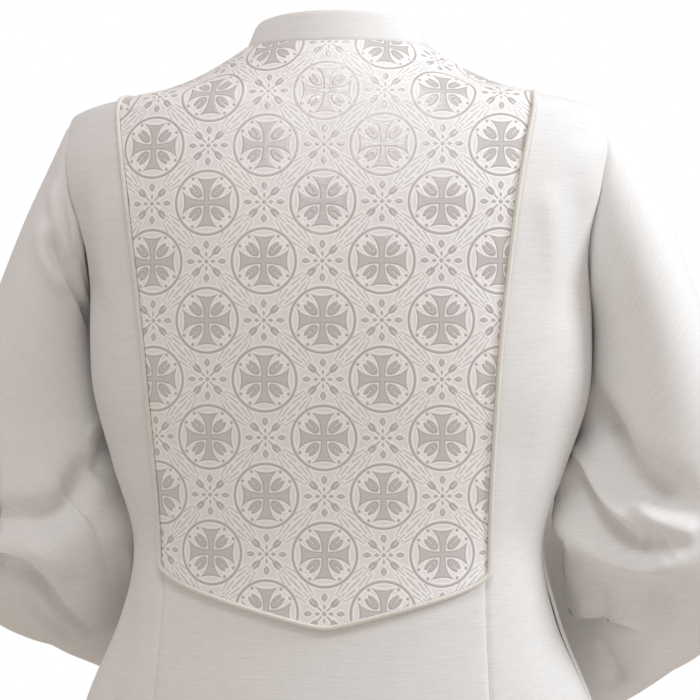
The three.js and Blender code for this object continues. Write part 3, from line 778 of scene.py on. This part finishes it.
def creased(points, normals, seen, hidden):
    """The sleeve with its creases: those seen in the photograph, by pixel, and those on the front."""
    flat, flat_normals = points.reshape(-1, 3), normals.reshape(-1, 3)
    shift = np.zeros_like(flat)
    for folds, find in ((seen, seen_spot), (hidden, front_spot)):
        for fold in folds:
            marks = np.array([find(points, normals, spot) for spot in fold["points"]])
            line = even_line(marks, SLEEVE_CREASE_STEPS)
            if "height" in fold:
                shift += drape_shift(flat, flat_normals, line, fold["height"], fold["reach"], **fold["ends"])
            else:
                relief = crease_relief(flat, line, fold["width"], fold["depth"], **fold["ends"])
                shift += flat_normals * relief[:, None]
    run = arc(points, 0)
    shift = shift.reshape(points.shape) * smooth(run / ARMHOLE_FADE)[..., None]
    seams = seam_roll(run) + stitched(run[-1:] - run - HEM_DEPTH)
    return points + shift - normals * seams[..., None]


# Creases and drapes of the sleeves that the photograph shows, by its pixels.
LEFT_SEEN = [
    crease(6, -8, (62, 172), (64, 200), (70, 235), (82, 268), (90, 286)),
    crease(6, 5, (55, 176), (57, 205), (62, 238), (72, 268)),
    crease(8, 6.5, (44, 215), (42, 245), (52, 272), (74, 294)),
    crease(6.5, -9, (46, 226), (54, 250), (66, 276), (84, 302), (92, 330), start=0.2, end=0.2),
    drape(7, 13, (90, 288), (81, 266), (71, 236), (65, 202), (62, 170), end=0.35),
    crease(4, 3.5, (106, 413), (94, 428), (86, 439)),
    crease(12, -9, (114, 425), (106, 450), (100, 484)),
    crease(15, -18, (92, 446), (80, 488), (64, 510), (41, 517), (-8, 515), start=0.35, end=0.1),
    crease(10, 8, (-8, 528), (25, 529), (50, 541), (72, 574), end=0.4),
    drape(
        20, 42, (0, 538), (12, 540), (31, 546), (45, 556), (55, 570), (65, 585), (78, 597), (90, 611),
        (106, 607), (112, 598), (120, 574), (124, 550), (126, 523), (119, 484), start=0.01, end=0.15,
    ),
    crease(9, -6, (0, 564), (30, 574), (52, 597), (73, 622), (96, 636), start=0.02),
    crease(4, 4, (112, 540), (113, 575), (110, 604)),
    crease(6, -4, (0, 575), (20, 573), (41, 579), (60, 604)),
    crease(8, -4, (20, 592), (50, 620), (80, 642)),
]
RIGHT_SEEN = [
    crease(18, -27, (585, 392), (604, 431), (622, 464), (642, 482), (667, 496), (705, 503)),
    crease(11, 11, (628, 496), (654, 514), (683, 529), (705, 536)),
    crease(5, 6, (577, 441), (587, 462), (599, 486), (613, 507), (628, 521), (637, 532)),
    crease(9, -17, (579, 452), (593, 496), (607, 521), (626, 542), (642, 552), (662, 550)),
    crease(10, -8, (640, 541), (655, 546), (671, 541)),
    crease(12, 13, (575, 486), (587, 525), (607, 551), (628, 563), (648, 569), (671, 561), (705, 540)),
    crease(24, -16, (590, 590), (630, 602), (680, 592)),
    drape(
        17, 40, (568, 462), (575, 494), (580, 523), (583, 553), (584, 580), (586, 602), (594, 604),
        (605, 609), (618, 616), (630, 625), (640, 637), start=0.15, end=0.15,
    ),
    crease(3, 3, (593, 535), (589, 545), (586, 556)),
    crease(9, -7, (600, 640), (612, 668), (618, 690)),
    crease(14, 5, (690, 590), (660, 640), (640, 690)),
]

# Creases on the sleeves' fronts, by x and z in millimetres.
LEFT_HIDDEN = [
    crease(12, -6, (246, -130), (268, -210), (304, -300)),
    crease(14, 4, (262, -110), (296, -190), (332, -270)),
    crease(11, -5, (232, -190), (246, -270), (262, -340)),
    crease(11, -9, (212, -396), (250, -418), (300, -420)),
    crease(10, 5, (226, -360), (268, -384), (318, -380)),
    crease(12, -7, (206, -440), (250, -462), (318, -452)),
    crease(15, -7, (352, -500), (290, -540), (214, -566)),
    crease(13, 5, (330, -470), (258, -500), (172, -520)),
    crease(14, -5, (300, -590), (236, -606), (170, -612)),
    crease(12, -5, (222, -430), (164, -446), (112, -452)),
]
RIGHT_HIDDEN = [
    crease(13, -6, (-248, -126), (-274, -214), (-310, -316)),
    crease(13, 4, (-266, -112), (-304, -200), (-338, -290)),
    crease(11, -5, (-256, -196), (-276, -280), (-296, -352)),
    crease(12, -10, (-216, -404), (-258, -430), (-310, -428)),
    crease(10, 5, (-230, -366), (-276, -394), (-326, -392)),
    crease(12, -6, (-212, -452), (-262, -476), (-326, -468)),
    crease(15, -8, (-350, -520), (-284, -560), (-206, -586)),
    crease(14, 5, (-326, -486), (-250, -516), (-166, -534)),
    crease(13, -5, (-290, -610), (-222, -626), (-164, -630)),
    crease(12, -5, (-226, -444), (-170, -460), (-114, -470)),
]


def make_sleeve(name, sections, hand, seen, hidden, material):
    points, normals, ring_normals = sleeve_form(sections, hand)
    points = creased(points, normals, seen, hidden)
    fresh = grid_normals(points, around=True) * hand
    fresh[0] = normals[0]
    # The seam's allowance lies inside the body, so that the seam has cloth behind it.
    leaving = unit(points[2] - points[0])
    tucked = points[0] - leaving * ALLOWANCE - ring_normals * (WALL + ROLL_DEPTH + 2 * SEAM_GAP)
    points = np.concatenate([tucked[None], points])
    fresh = np.concatenate([ring_normals[None], fresh])
    closed = np.concatenate([points, points[:, :1]], axis=1)
    down = arc(closed, 0)
    place = np.stack([arc(closed, 1), (down + down.mean(axis=1, keepdims=True)) / 2], axis=-1)
    mesh = shell_mesh(name, points, fresh, WALL, place, around=True)
    piece = add_piece(name + "_cloth", mesh, material, name)


# ---- brocade, cord and collar


BROCADE_LIFT = SEAM_GAP + BROCADE_WALL

# The brocade's lower edge, in shares of its half width and of its corners' rise above its point.
POINT_ROUND = 0.06
SLANT_RISE = 0.93
CORNER_RISE = 0.13
CORNER_POWER = 10


def brocade_edge_z(share):
    """Lower edge of the brocade at a signed share of its half width: a point and two slants."""
    straight = SLANT_RISE * (np.hypot(share, POINT_ROUND) - POINT_ROUND)
    slant = straight + CORNER_RISE * np.abs(share) ** CORNER_POWER
    return lerp(BROCADE_POINT_Z, BROCADE_CORNER_Z, slant) + BROCADE_TILT * share


def brocade_settled(top_z, z):
    """How far the columns are spread evenly at z, as in the panel below."""
    progress = np.clip((top_z - z) / (top_z - UNDERARM_Z), 0, 1)
    return smooth(np.arccos(1 - 2 * progress) / np.pi)


def brocade_form(rows=200, columns=140):
    """x, z, points and normals of the brocade's face, from the neck to its pointed lower edge."""
    share = 2 * edged(columns, 0.002) - 1
    top = top_height(1, centre_top(share))
    down = edged(rows, 0.0015)[:, None]
    z = lerp(top[None, :], brocade_edge_z(share)[None, :], down)
    x = centre_x(share[None, :], z, brocade_settled(top[None, :], z))
    points, normals = on_body(1, x, z)
    return x, z, points + normals * (body_relief(1, x, z) + BROCADE_LIFT)[..., None], normals


def make_brocade(material):
    x, z, points, normals = brocade_form()
    mesh = shell_mesh("brocade_panel", points, normals, BROCADE_WALL, cloth_place(1, x, z))
    piece = add_piece("brocade_panel_cloth", mesh, material, "brocade_panel")


CORD_LOBES = 3
CORD_LAY = 5.4  # length of one turn of its strands
CORD_RINGS_PER_LAY = 15
CORD_SIDES = 14
CORD_SAMPLES = 400  # along each side of the brocade and along its lower edge
CORD_BEND = 15  # samples over which a corner of the cord is rounded
CORD_LIFT = 0.4
CORD_VALLEY = 0.88  # the least radius of the twist, in shares of the cord's
STRAND_RELIEF = 0.32  # how far the strands stand out of it
STRAND_ROUND = 0.8


def cord_line():
    """Points and normals of the cloth along the cord: down one side, round the point and up the other."""
    share = np.linspace(-1, 1, CORD_SAMPLES + 1)
    lower_z = brocade_edge_z(share)
    down = np.linspace(0, 1, CORD_SAMPLES)[:-1]
    right_z, left_z = (
        lerp(top_height(1, seam_x(hand, 0.0)), end, down)
        for hand, end in ((-1, lower_z[0]), (1, lower_z[-1]))
    )
    z = np.concatenate([right_z, lower_z, left_z[::-1]])
    side = np.ones_like(down)
    share = np.concatenate([-side, share, side])
    x = centre_x(share, z, np.ones_like(z))
    points, normals = on_body(1, x, z)
    return points + normals * body_relief(1, x, z)[..., None], normals


def make_cord(material):
    rim, normals = cord_line()
    # Corners are rounded as far as the cord's stiffness rounds them.
    kernel = np.hanning(CORD_BEND)
    kernel /= kernel.sum()
    pad = len(kernel) // 2
    soft = np.pad(rim, ((pad, pad), (0, 0)), mode="reflect", reflect_type="odd")
    rim = np.stack([np.convolve(soft[:, i], kernel, mode="valid") for i in range(3)], axis=-1)
    along = unit(np.gradient(rim, axis=0))
    outward = unit(np.cross(normals, along))
    height = BROCADE_LIFT + CORD_RADIUS - BROCADE_WALL + CORD_LIFT
    rim = rim + normals * height + outward * (CORD_RADIUS + SEAM_GAP)
    run = arc(rim, 0)
    spots = np.linspace(0, run[-1], int(run[-1] / CORD_LAY * CORD_RINGS_PER_LAY))
    centre = np.stack([np.interp(spots, run, rim[:, i]) for i in range(3)], axis=-1)
    up = unit(np.stack([np.interp(spots, run, normals[:, i]) for i in range(3)], axis=-1))
    along = unit(np.gradient(centre, axis=0))
    across = unit(np.cross(up, along))
    up = np.cross(along, across)
    angle = 2 * np.pi * np.arange(CORD_SIDES) / CORD_SIDES
    phase = CORD_LOBES / 2 * (angle[None, :] + 2 * np.pi * spots[:, None] / CORD_LAY)
    radius = CORD_RADIUS * (CORD_VALLEY + STRAND_RELIEF * np.abs(np.cos(phase)) ** STRAND_ROUND)
    ring = across[:, None] * np.cos(angle)[None, :, None] + up[:, None] * np.sin(angle)[None, :, None]
    points = centre[:, None] + ring * radius[..., None]
    rows = len(spots)
    index = np.arange(rows * CORD_SIDES).reshape(rows, CORD_SIDES)
    index = np.concatenate([index, index[:, :1]], axis=1)
    corners = [index[:-1, :-1], index[:-1, 1:], index[1:, 1:], index[1:, :-1]]
    quads = np.stack(corners, axis=-1).reshape(-1, 4)
    uv = np.stack(np.broadcast_arrays(angle[None, :] * CORD_RADIUS, spots[:, None]), axis=-1).reshape(-1, 2)
    mesh = quad_mesh("panel_cord", points.reshape(-1, 3), quads, uv[quads.ravel()])
    add_piece("panel_cord_twist", mesh, material, "panel_cord")


# The neck's reach to the back and to the front, and the collar's height there and at its sides, in
# shares of its full height.
NECK_BACK, NECK_FRONT = 68, 84
SIDE_SHARE, BACK_SHARE, FRONT_SHARE = 0.6, 0.95, 1

# How far the collar's top leans in at its sides, back and front, and how far all of it lies forward.
SIDE_LEAN, BACK_LEAN, FRONT_LEAN = 8, 7.0, 3.0
FORWARD_LEAN = 1.5

# How far the collar's two edges are rounded off, and over what height at the top and at the foot.
EDGE_DIP = 0.9
TOP_ROUND, FOOT_ROUND = 1.6, 1.8


def collar_form(rows=26, columns=60):
    """Points and normals of the stand collar's outer face, from one front end round the neck."""
    share = np.linspace(0, 1, columns)
    half = neck_x(share)
    front = np.maximum(half, 1.0)
    x = np.concatenate([-front, -half[::-1][1:], half[1:], front[::-1][1:]])
    sides = np.concatenate([np.full(columns, -1), np.full(2 * columns - 2, 1), np.full(columns - 1, -1)])
    back, _ = on_body(1, x, top_height(1, x))
    face, _ = on_body(-1, x, top_height(-1, x))
    base = np.where(sides[:, None] > 0, back, face)
    inward = unit(-base * (1, 1, 0))
    behind = base[:, 1] > 0
    depth = np.where(behind, base[:, 1] / NECK_BACK, -base[:, 1] / NECK_FRONT)
    height = np.where(behind, lerp(SIDE_SHARE, BACK_SHARE, depth), lerp(SIDE_SHARE, FRONT_SHARE, depth))
    tall = COLLAR_HEIGHT * height
    lean = np.where(behind, BACK_LEAN, FRONT_LEAN)
    up = edged(rows, 0.012)[:, None]
    points = np.stack(
        [
            base[:, 0] + inward[:, 0] * SIDE_LEAN * up,
            base[:, 1] + (inward[:, 1] * lean - FORWARD_LEAN) * up,
            base[:, 2] + SEAM_GAP + tall * up,
        ],
        axis=-1,
    )
    return points, np.broadcast_to(-inward, points.shape).copy()


def make_collar(material):
    points, normals = collar_form()
    down = arc(points, 0)
    height = down[-1:, :]
    rounded = np.exp(-(((height - down) / TOP_ROUND) ** 2)) + np.exp(-((down / FOOT_ROUND) ** 2))
    points = points - normals * (EDGE_DIP * rounded)[..., None]
    place = np.stack([arc(points, 1), height - down], axis=-1)
    mesh = shell_mesh("collar", points, normals, COLLAR_WALL, place)
    piece = add_piece("collar_cloth", mesh, material, "collar")


# ---- materials


class Number:
    """A number inside a material, whose arithmetic is done by Math nodes."""

    def __init__(self, tree, socket):
        self.tree = tree
        self.socket = socket

    def math(self, operation, *others, clamp=False):
        node = self.tree.nodes.new("ShaderNodeMath")
        node.operation = operation
        node.use_clamp = clamp
        for place, value in zip(node.inputs, (self, *others)):
            if isinstance(value, Number):
                self.tree.links.new(value.socket, place)
            else:
                place.default_value = value
        return Number(self.tree, node.outputs[0])

    def __add__(self, other):
        return self.math("ADD", other)

    def __sub__(self, other):
        return self.math("SUBTRACT", other)

    def __mul__(self, other):
        return self.math("MULTIPLY", other)

    def __truediv__(self, other):
        return self.math("DIVIDE", other)

    def __rsub__(self, other):
        return self * -1 + other

    def __abs__(self):
        return self.math("ABSOLUTE")

    __radd__, __rmul__ = __add__, __mul__

    def power(self, exponent):
        return self.math("POWER", exponent)

    def least(self, other):
        return self.math("MINIMUM", other)

    def most(self, other):
        return self.math("MAXIMUM", other)

    def clamped(self):
        return self.math("ADD", 0.0, clamp=True)


def hypot(a, b):
    return (a * a + b * b).math("SQRT")


class Material:
    """A new Principled material with its nodes."""

    def __init__(self, name, **shader):
        self.material = bpy.data.materials.new(name)
        self.material.use_nodes = True
        self.tree = self.material.node_tree
        self.shader = self.tree.nodes["Principled BSDF"]
        for socket, value in shader.items():
            self.shader.inputs[socket.replace("_", " ")].default_value = value

    def node(self, kind, **settings):
        node = self.tree.nodes.new(kind)
        for name, value in settings.items():
            setattr(node, name, value)
        return node

    def link(self, output, target):
        self.tree.links.new(output, target)

    def cloth_place(self):
        """Across and down the cloth, in millimetres."""
        place = self.node("ShaderNodeUVMap", uv_map="cloth")
        split = self.node("ShaderNodeSeparateXYZ")
        self.link(place.outputs[0], split.inputs[0])
        return Number(self.tree, split.outputs[0]) * METRE, Number(self.tree, split.outputs[1]) * METRE

    def noise(self, across, down, detail=2.0, roughness=0.5):
        """Noise over a place whose unit is one grain."""
        join = self.node("ShaderNodeCombineXYZ")
        self.link(across.socket, join.inputs[0])
        self.link(down.socket, join.inputs[1])
        noise = self.node("ShaderNodeTexNoise", noise_dimensions="2D")
        noise.inputs["Scale"].default_value = 1.0
        noise.inputs["Detail"].default_value = detail
        noise.inputs["Roughness"].default_value = roughness
        self.link(join.outputs[0], noise.inputs["Vector"])
        return Number(self.tree, noise.outputs[0])

    def colours(self, share, first, second):
        mix = self.node("ShaderNodeMix", data_type="RGBA")
        self.link(share.socket, mix.inputs[0])
        mix.inputs[6].default_value = (*first, 1)
        mix.inputs[7].default_value = (*second, 1)
        self.link(mix.outputs[2], self.shader.inputs["Base Color"])

    def roughness(self, value):
        self.link(value.socket, self.shader.inputs["Roughness"])

    def bump(self, height, depth, strength=1.0):
        """Relief from a height in shares of depth, in millimetres."""
        bump = self.node("ShaderNodeBump")
        bump.inputs["Strength"].default_value = strength
        bump.inputs["Distance"].default_value = depth / METRE
        self.link(height.socket, bump.inputs["Height"])
        self.link(bump.outputs[0], self.shader.inputs["Normal"])


def wave(place, pitch):
    """A ridge wave from 0 to 1 with the given pitch."""
    return (place * (2 * math.pi / pitch)).math("SINE") * 0.5 + 0.5


def woven_cloth():
    """The robe's plain cloth: off-white, with slubs along its crosswise threads."""
    cloth = Material("robe_cloth", Sheen_Weight=0.25, Sheen_Roughness=0.5, IOR=1.45, Specular_IOR_Level=0.25)
    across, down = cloth.cloth_place()
    slub = cloth.noise(across / 16, down / 0.9, 2.0, 0.55)
    fine = cloth.noise(across / 1.1, down / 0.55, 1.0)
    long_slub = cloth.noise(across / 42, down / 1.5, 1.0)
    upright = cloth.noise(across / 0.8, down / 22, 1.0)
    streak = (slub - 0.5) * 0.9 + (long_slub - 0.5) * 0.6 + (fine - 0.5) * 0.5 + (upright - 0.5) * 0.35
    threads = wave(down, 0.62) * wave(across, 0.7)
    share = (streak + 0.5).clamped()
    cloth.colours(share, (0.73, 0.728, 0.72), (0.86, 0.857, 0.85))
    cloth.roughness(share * -0.12 + 0.72)
    cloth.bump(streak * 0.7 + threads * 0.25, 0.16)
    return cloth.material


# The brocade's repeat, in millimetres: wheel crosses on a diagonal lattice with a star between.
REPEAT = 51.6
DRAWN_REPEAT = 59.0  # the motif is drawn in units of which this many make the repeat
BROCADE_PHASE = 53.0  # how far a wheel's middle lies below the grain level


def blob(out, off, middle, half_length, half_width):
    """An ellipse at a distance out along a line and off to its sides."""
    return (1 - hypot((out - middle) / half_length, off / half_width)) * half_width


def wheel_cross(x, y):
    """A ring, a cross with spreading arms, and tulips between the arms. Above 0 inside the figure."""
    radius = hypot(x, y)
    ring = 1.15 - abs(radius - 32.4)
    along, aside = x.most(y), x.least(y)
    flare = (along / 26.3).power(3.4) * 9.6 + 3
    hollow_end = (aside / 12.75).power(2) * 2.6 + 23.6
    cross = (flare - aside).least(hollow_end - along)
    out, off = (x + y) * math.sqrt(0.5), abs(x - y) * math.sqrt(0.5)
    bud = blob(out, off, 16.4, 8.6, 4.9)
    notch = (off * 0.95 + 21.6 - out) * 0.7
    slit = (off - 0.55).most(15 - out)
    tulip = bud.least(notch).least(slit)
    dots = 1.5 - hypot(out - 27.6, off - 6.6)
    return ring.most(cross).most(tulip).most(dots)


def star(x, y):
    """A dotted star with tulips on its diagonals and feathers between two stars."""
    along, aside = x.most(y), x.least(y)
    upright = (y - x).math("GREATER_THAN", 0)
    centre = 2 - hypot(x, y)
    diamond = (upright * -0.7 + 2) * (1 - abs(along - 7) / 2.75) - aside
    drop = (upright * 0.5 + 2.4) * (1 - ((along - 16.6) / 4.4).power(2)) - aside
    out, off = (x + y) * math.sqrt(0.5), abs(x - y) * math.sqrt(0.5)
    ray = (0.65 - off).least(3.2 - abs(out - 7.2))
    bud = blob(out, off, 15.6, 5.6, 3.1)
    tulip = bud.least((off - 0.5).most(14 - out)).least((off * 0.8 + 19.2 - out) * 0.7)
    spread = off / ((out - 21) * 0.045 + 1)
    strand = (spread / 2.6).math("ROUND")
    across_strand = 0.2 - abs(spread - strand * 2.6)
    broken = ((out / 15 + strand * 0.37).math("FRACT") - 0.2) * 6
    feather = across_strand.least(broken).least(5.4 - spread).least(out - 21.5)
    return centre.most(diamond).most(drop).most(ray).most(tulip).most(feather)


def brocade_figure(across, down):
    """How far a place lies inside the woven figure's edge, in the drawing's units."""
    x, y = across / REPEAT, (down - BROCADE_PHASE) / REPEAT
    diagonal, other = (x + y) / 2, (x - y) / 2
    diagonal, other = diagonal - diagonal.math("ROUND"), other - other.math("ROUND")
    x, y = abs(diagonal + other), abs(diagonal - other)
    beside = (x - y).math("GREATER_THAN", 0)
    star_x, star_y = abs(x - beside), abs(y + beside - 1)
    drawn = [value * DRAWN_REPEAT for value in (x, y, star_x, star_y)]
    return wheel_cross(drawn[0], drawn[1]).most(star(drawn[2], drawn[3]))


def brocade_cloth():
    """A damask of satin figures, outlined in relief, on a matt ground of the same colour. The figures are
    painted darker, a painted shade, with a painted shadow at their edges and a painted highlight round them.
    """
    cloth = Material("brocade", IOR=1.9, Specular_IOR_Level=0.9, Sheen_Weight=0.1)
    across, down = cloth.cloth_place()
    inside = brocade_figure(across, down)
    figure = (inside / 0.9 + 0.5).clamped()
    # The outline just inside a figure's edge is painted darker, a painted shadow, and the rim just outside
    # it lighter, a painted highlight; both also shape the relief.
    outline_dip_and_painted_shade = (1 - abs(inside - 0.6) / 1.1).clamped()
    rim = (1 - abs(inside + 1.3) / 1.2).clamped()
    threads = wave(down, 0.5)
    slub = cloth.noise(across / 7, down / 0.5, 1.0)
    # The figures are painted darker than the ground, a painted shade for how their satin turns the light;
    # the slub is the yarn's own tone.
    grain_and_painted_light = figure * 0.44 + outline_dip_and_painted_shade * 0.34 - rim * 0.36 + (slub - 0.5) * 0.3 + 0.26
    cloth.colours(grain_and_painted_light.clamped(), (0.97, 0.96, 0.95), (0.46, 0.43, 0.42))
    cloth.roughness(figure * -0.36 + 0.68 + (slub - 0.5) * 0.2)
    cloth.bump(figure * 0.5 + rim * 0.5 - outline_dip_and_painted_shade * 0.3 + threads * 0.12 + slub * 0.3, 0.3)
    return cloth.material


def cord_yarn():
    """The twisted cord's ivory yarn, painted darker in the grooves between its strands, a painted shade."""
    yarn = Material("cord_yarn", IOR=1.45, Specular_IOR_Level=0.3, Sheen_Weight=0.3)
    around, along = yarn.cloth_place()
    fibre = yarn.noise((around + along * 2.4) / 0.25, (along - around) / 3.0, 2.0)
    turn = around / CORD_RADIUS + along * (2 * math.pi / CORD_LAY)
    # The grooves between the strands are painted darker than their crests, a painted shade.
    painted_twist_shade = abs((turn * (CORD_LOBES / 2)).math("COSINE"))
    yarn.colours(painted_twist_shade.power(0.7) * 0.8 + fibre * 0.3, (0.52, 0.48, 0.41), (0.97, 0.95, 0.89))
    yarn.roughness(fibre * 0.2 + 0.5)
    yarn.bump(fibre, 0.15)
    return yarn.material


FLOOR_RADIUS = 2.4
FLOOR_SIDES = 96
FLOOR_GAP = 2.0  # millimetres below the hem
FLOOR_GRAINS = 6  # to a metre


def plain_floor():
    floor = Material("floor")
    grain = floor.noise(*floor_place(floor), 3.0)
    floor.colours(grain, (0.80, 0.75, 0.67), (0.83, 0.78, 0.70))
    floor.roughness(grain * 0.1 + 0.7)
    return floor.material


def floor_place(floor):
    place = floor.node("ShaderNodeTexCoord")
    split = floor.node("ShaderNodeSeparateXYZ")
    floor.link(place.outputs["Object"], split.inputs[0])
    return tuple(Number(floor.tree, split.outputs[i]) * FLOOR_GRAINS for i in range(2))


# ---- floor and light


def make_floor(material):
    z = (HEM_Z - FLOOR_GAP) / METRE
    angle = np.linspace(0, 2 * np.pi, FLOOR_SIDES, endpoint=False)
    rim = [(FLOOR_RADIUS * math.cos(a), FLOOR_RADIUS * math.sin(a), z) for a in angle]
    mesh = bpy.data.meshes.new("floor")
    mesh.from_pydata(rim, [], [list(range(FLOOR_SIDES))])
    mesh.materials.append(material)
    floor = bpy.data.objects.new("floor", mesh)
    bpy.context.scene.collection.objects.link(floor)


LIGHT_TARGET = (0, 0.05, -0.25)


def area_light(name, place, size, power, colour=(1, 1, 1)):
    data = bpy.data.lights.new(name, "AREA")
    data.shape = "DISK"
    data.size = size
    data.energy = power
    data.color = colour
    light = bpy.data.objects.new(name, data)
    light.location = place
    light.rotation_euler = (Vector(LIGHT_TARGET) - Vector(place)).to_track_quat("-Z", "Y").to_euler()
    bpy.context.scene.collection.objects.link(light)


ROOM_LIGHT = (0.54, 0.49, 0.47)


def make_world():
    """A white background that lights the robe with a dimmer, warmer glow from all round."""
    world = bpy.data.worlds.new("world")
    world.use_nodes = True
    tree = world.node_tree
    path = tree.nodes.new("ShaderNodeLightPath")
    mix = tree.nodes.new("ShaderNodeMix")
    mix.data_type = "RGBA"
    tree.links.new(path.outputs["Is Camera Ray"], mix.inputs[0])
    mix.inputs[6].default_value = (*ROOM_LIGHT, 1)
    mix.inputs[7].default_value = (1, 1, 1, 1)
    tree.links.new(mix.outputs[2], tree.nodes["Background"].inputs["Color"])
    bpy.context.scene.world = world


def light_scene():
    make_world()
    area_light("key", (-1.62, 0.3, 0.6), size=0.6, power=19.5, colour=(0.88, 0.95, 1.0))
    area_light("overhead", (0.0, 1.15, 1.66), size=0.8, power=13.5)
    bpy.context.scene.view_settings.view_transform = "Standard"


# ---- the scene


# The right front goes under the left one: flat past the lap, then rising to its own place.
UNDER_FLAT, UNDER_RISE = 44, 76


def make_robe():
    cloth, brocade, yarn = woven_cloth(), brocade_cloth(), cord_yarn()
    body_panel("back_centre", 1, *centre_grid(), ("left", "right"), cloth, (0.52, 1.46, 0.53))
    for side, hand in (("left", 1), ("right", -1)):
        seams = ("left", "right", "top")
        body_panel("back_side_" + side, 1, *side_grid(hand), seams, cloth, (0.29, 1.42, 0.24))
    body_panel("front_left", -1, *front_grid(1), ("right", "top"), cloth, (0.56, 1.47, 0.52))
    x, z = front_grid(-1)
    tuck = WALL + 2 * SEAM_GAP
    under = tuck * (1 - smooth((-x - FRONT_LAP - UNDER_FLAT) / UNDER_RISE))
    body_panel("front_right", -1, x, z, ("right", "top"), cloth, (0.56, 1.47, 0.52), under)
    make_sleeve("sleeve_left", SLEEVE_LEFT, 1, LEFT_SEEN, LEFT_HIDDEN, cloth)
    make_sleeve("sleeve_right", SLEEVE_RIGHT, -1, RIGHT_SEEN, RIGHT_HIDDEN, cloth)
    make_collar(cloth)
    make_brocade(brocade)
    make_cord(yarn)


make_camera()
make_robe()
make_floor(plain_floor())
light_scene()
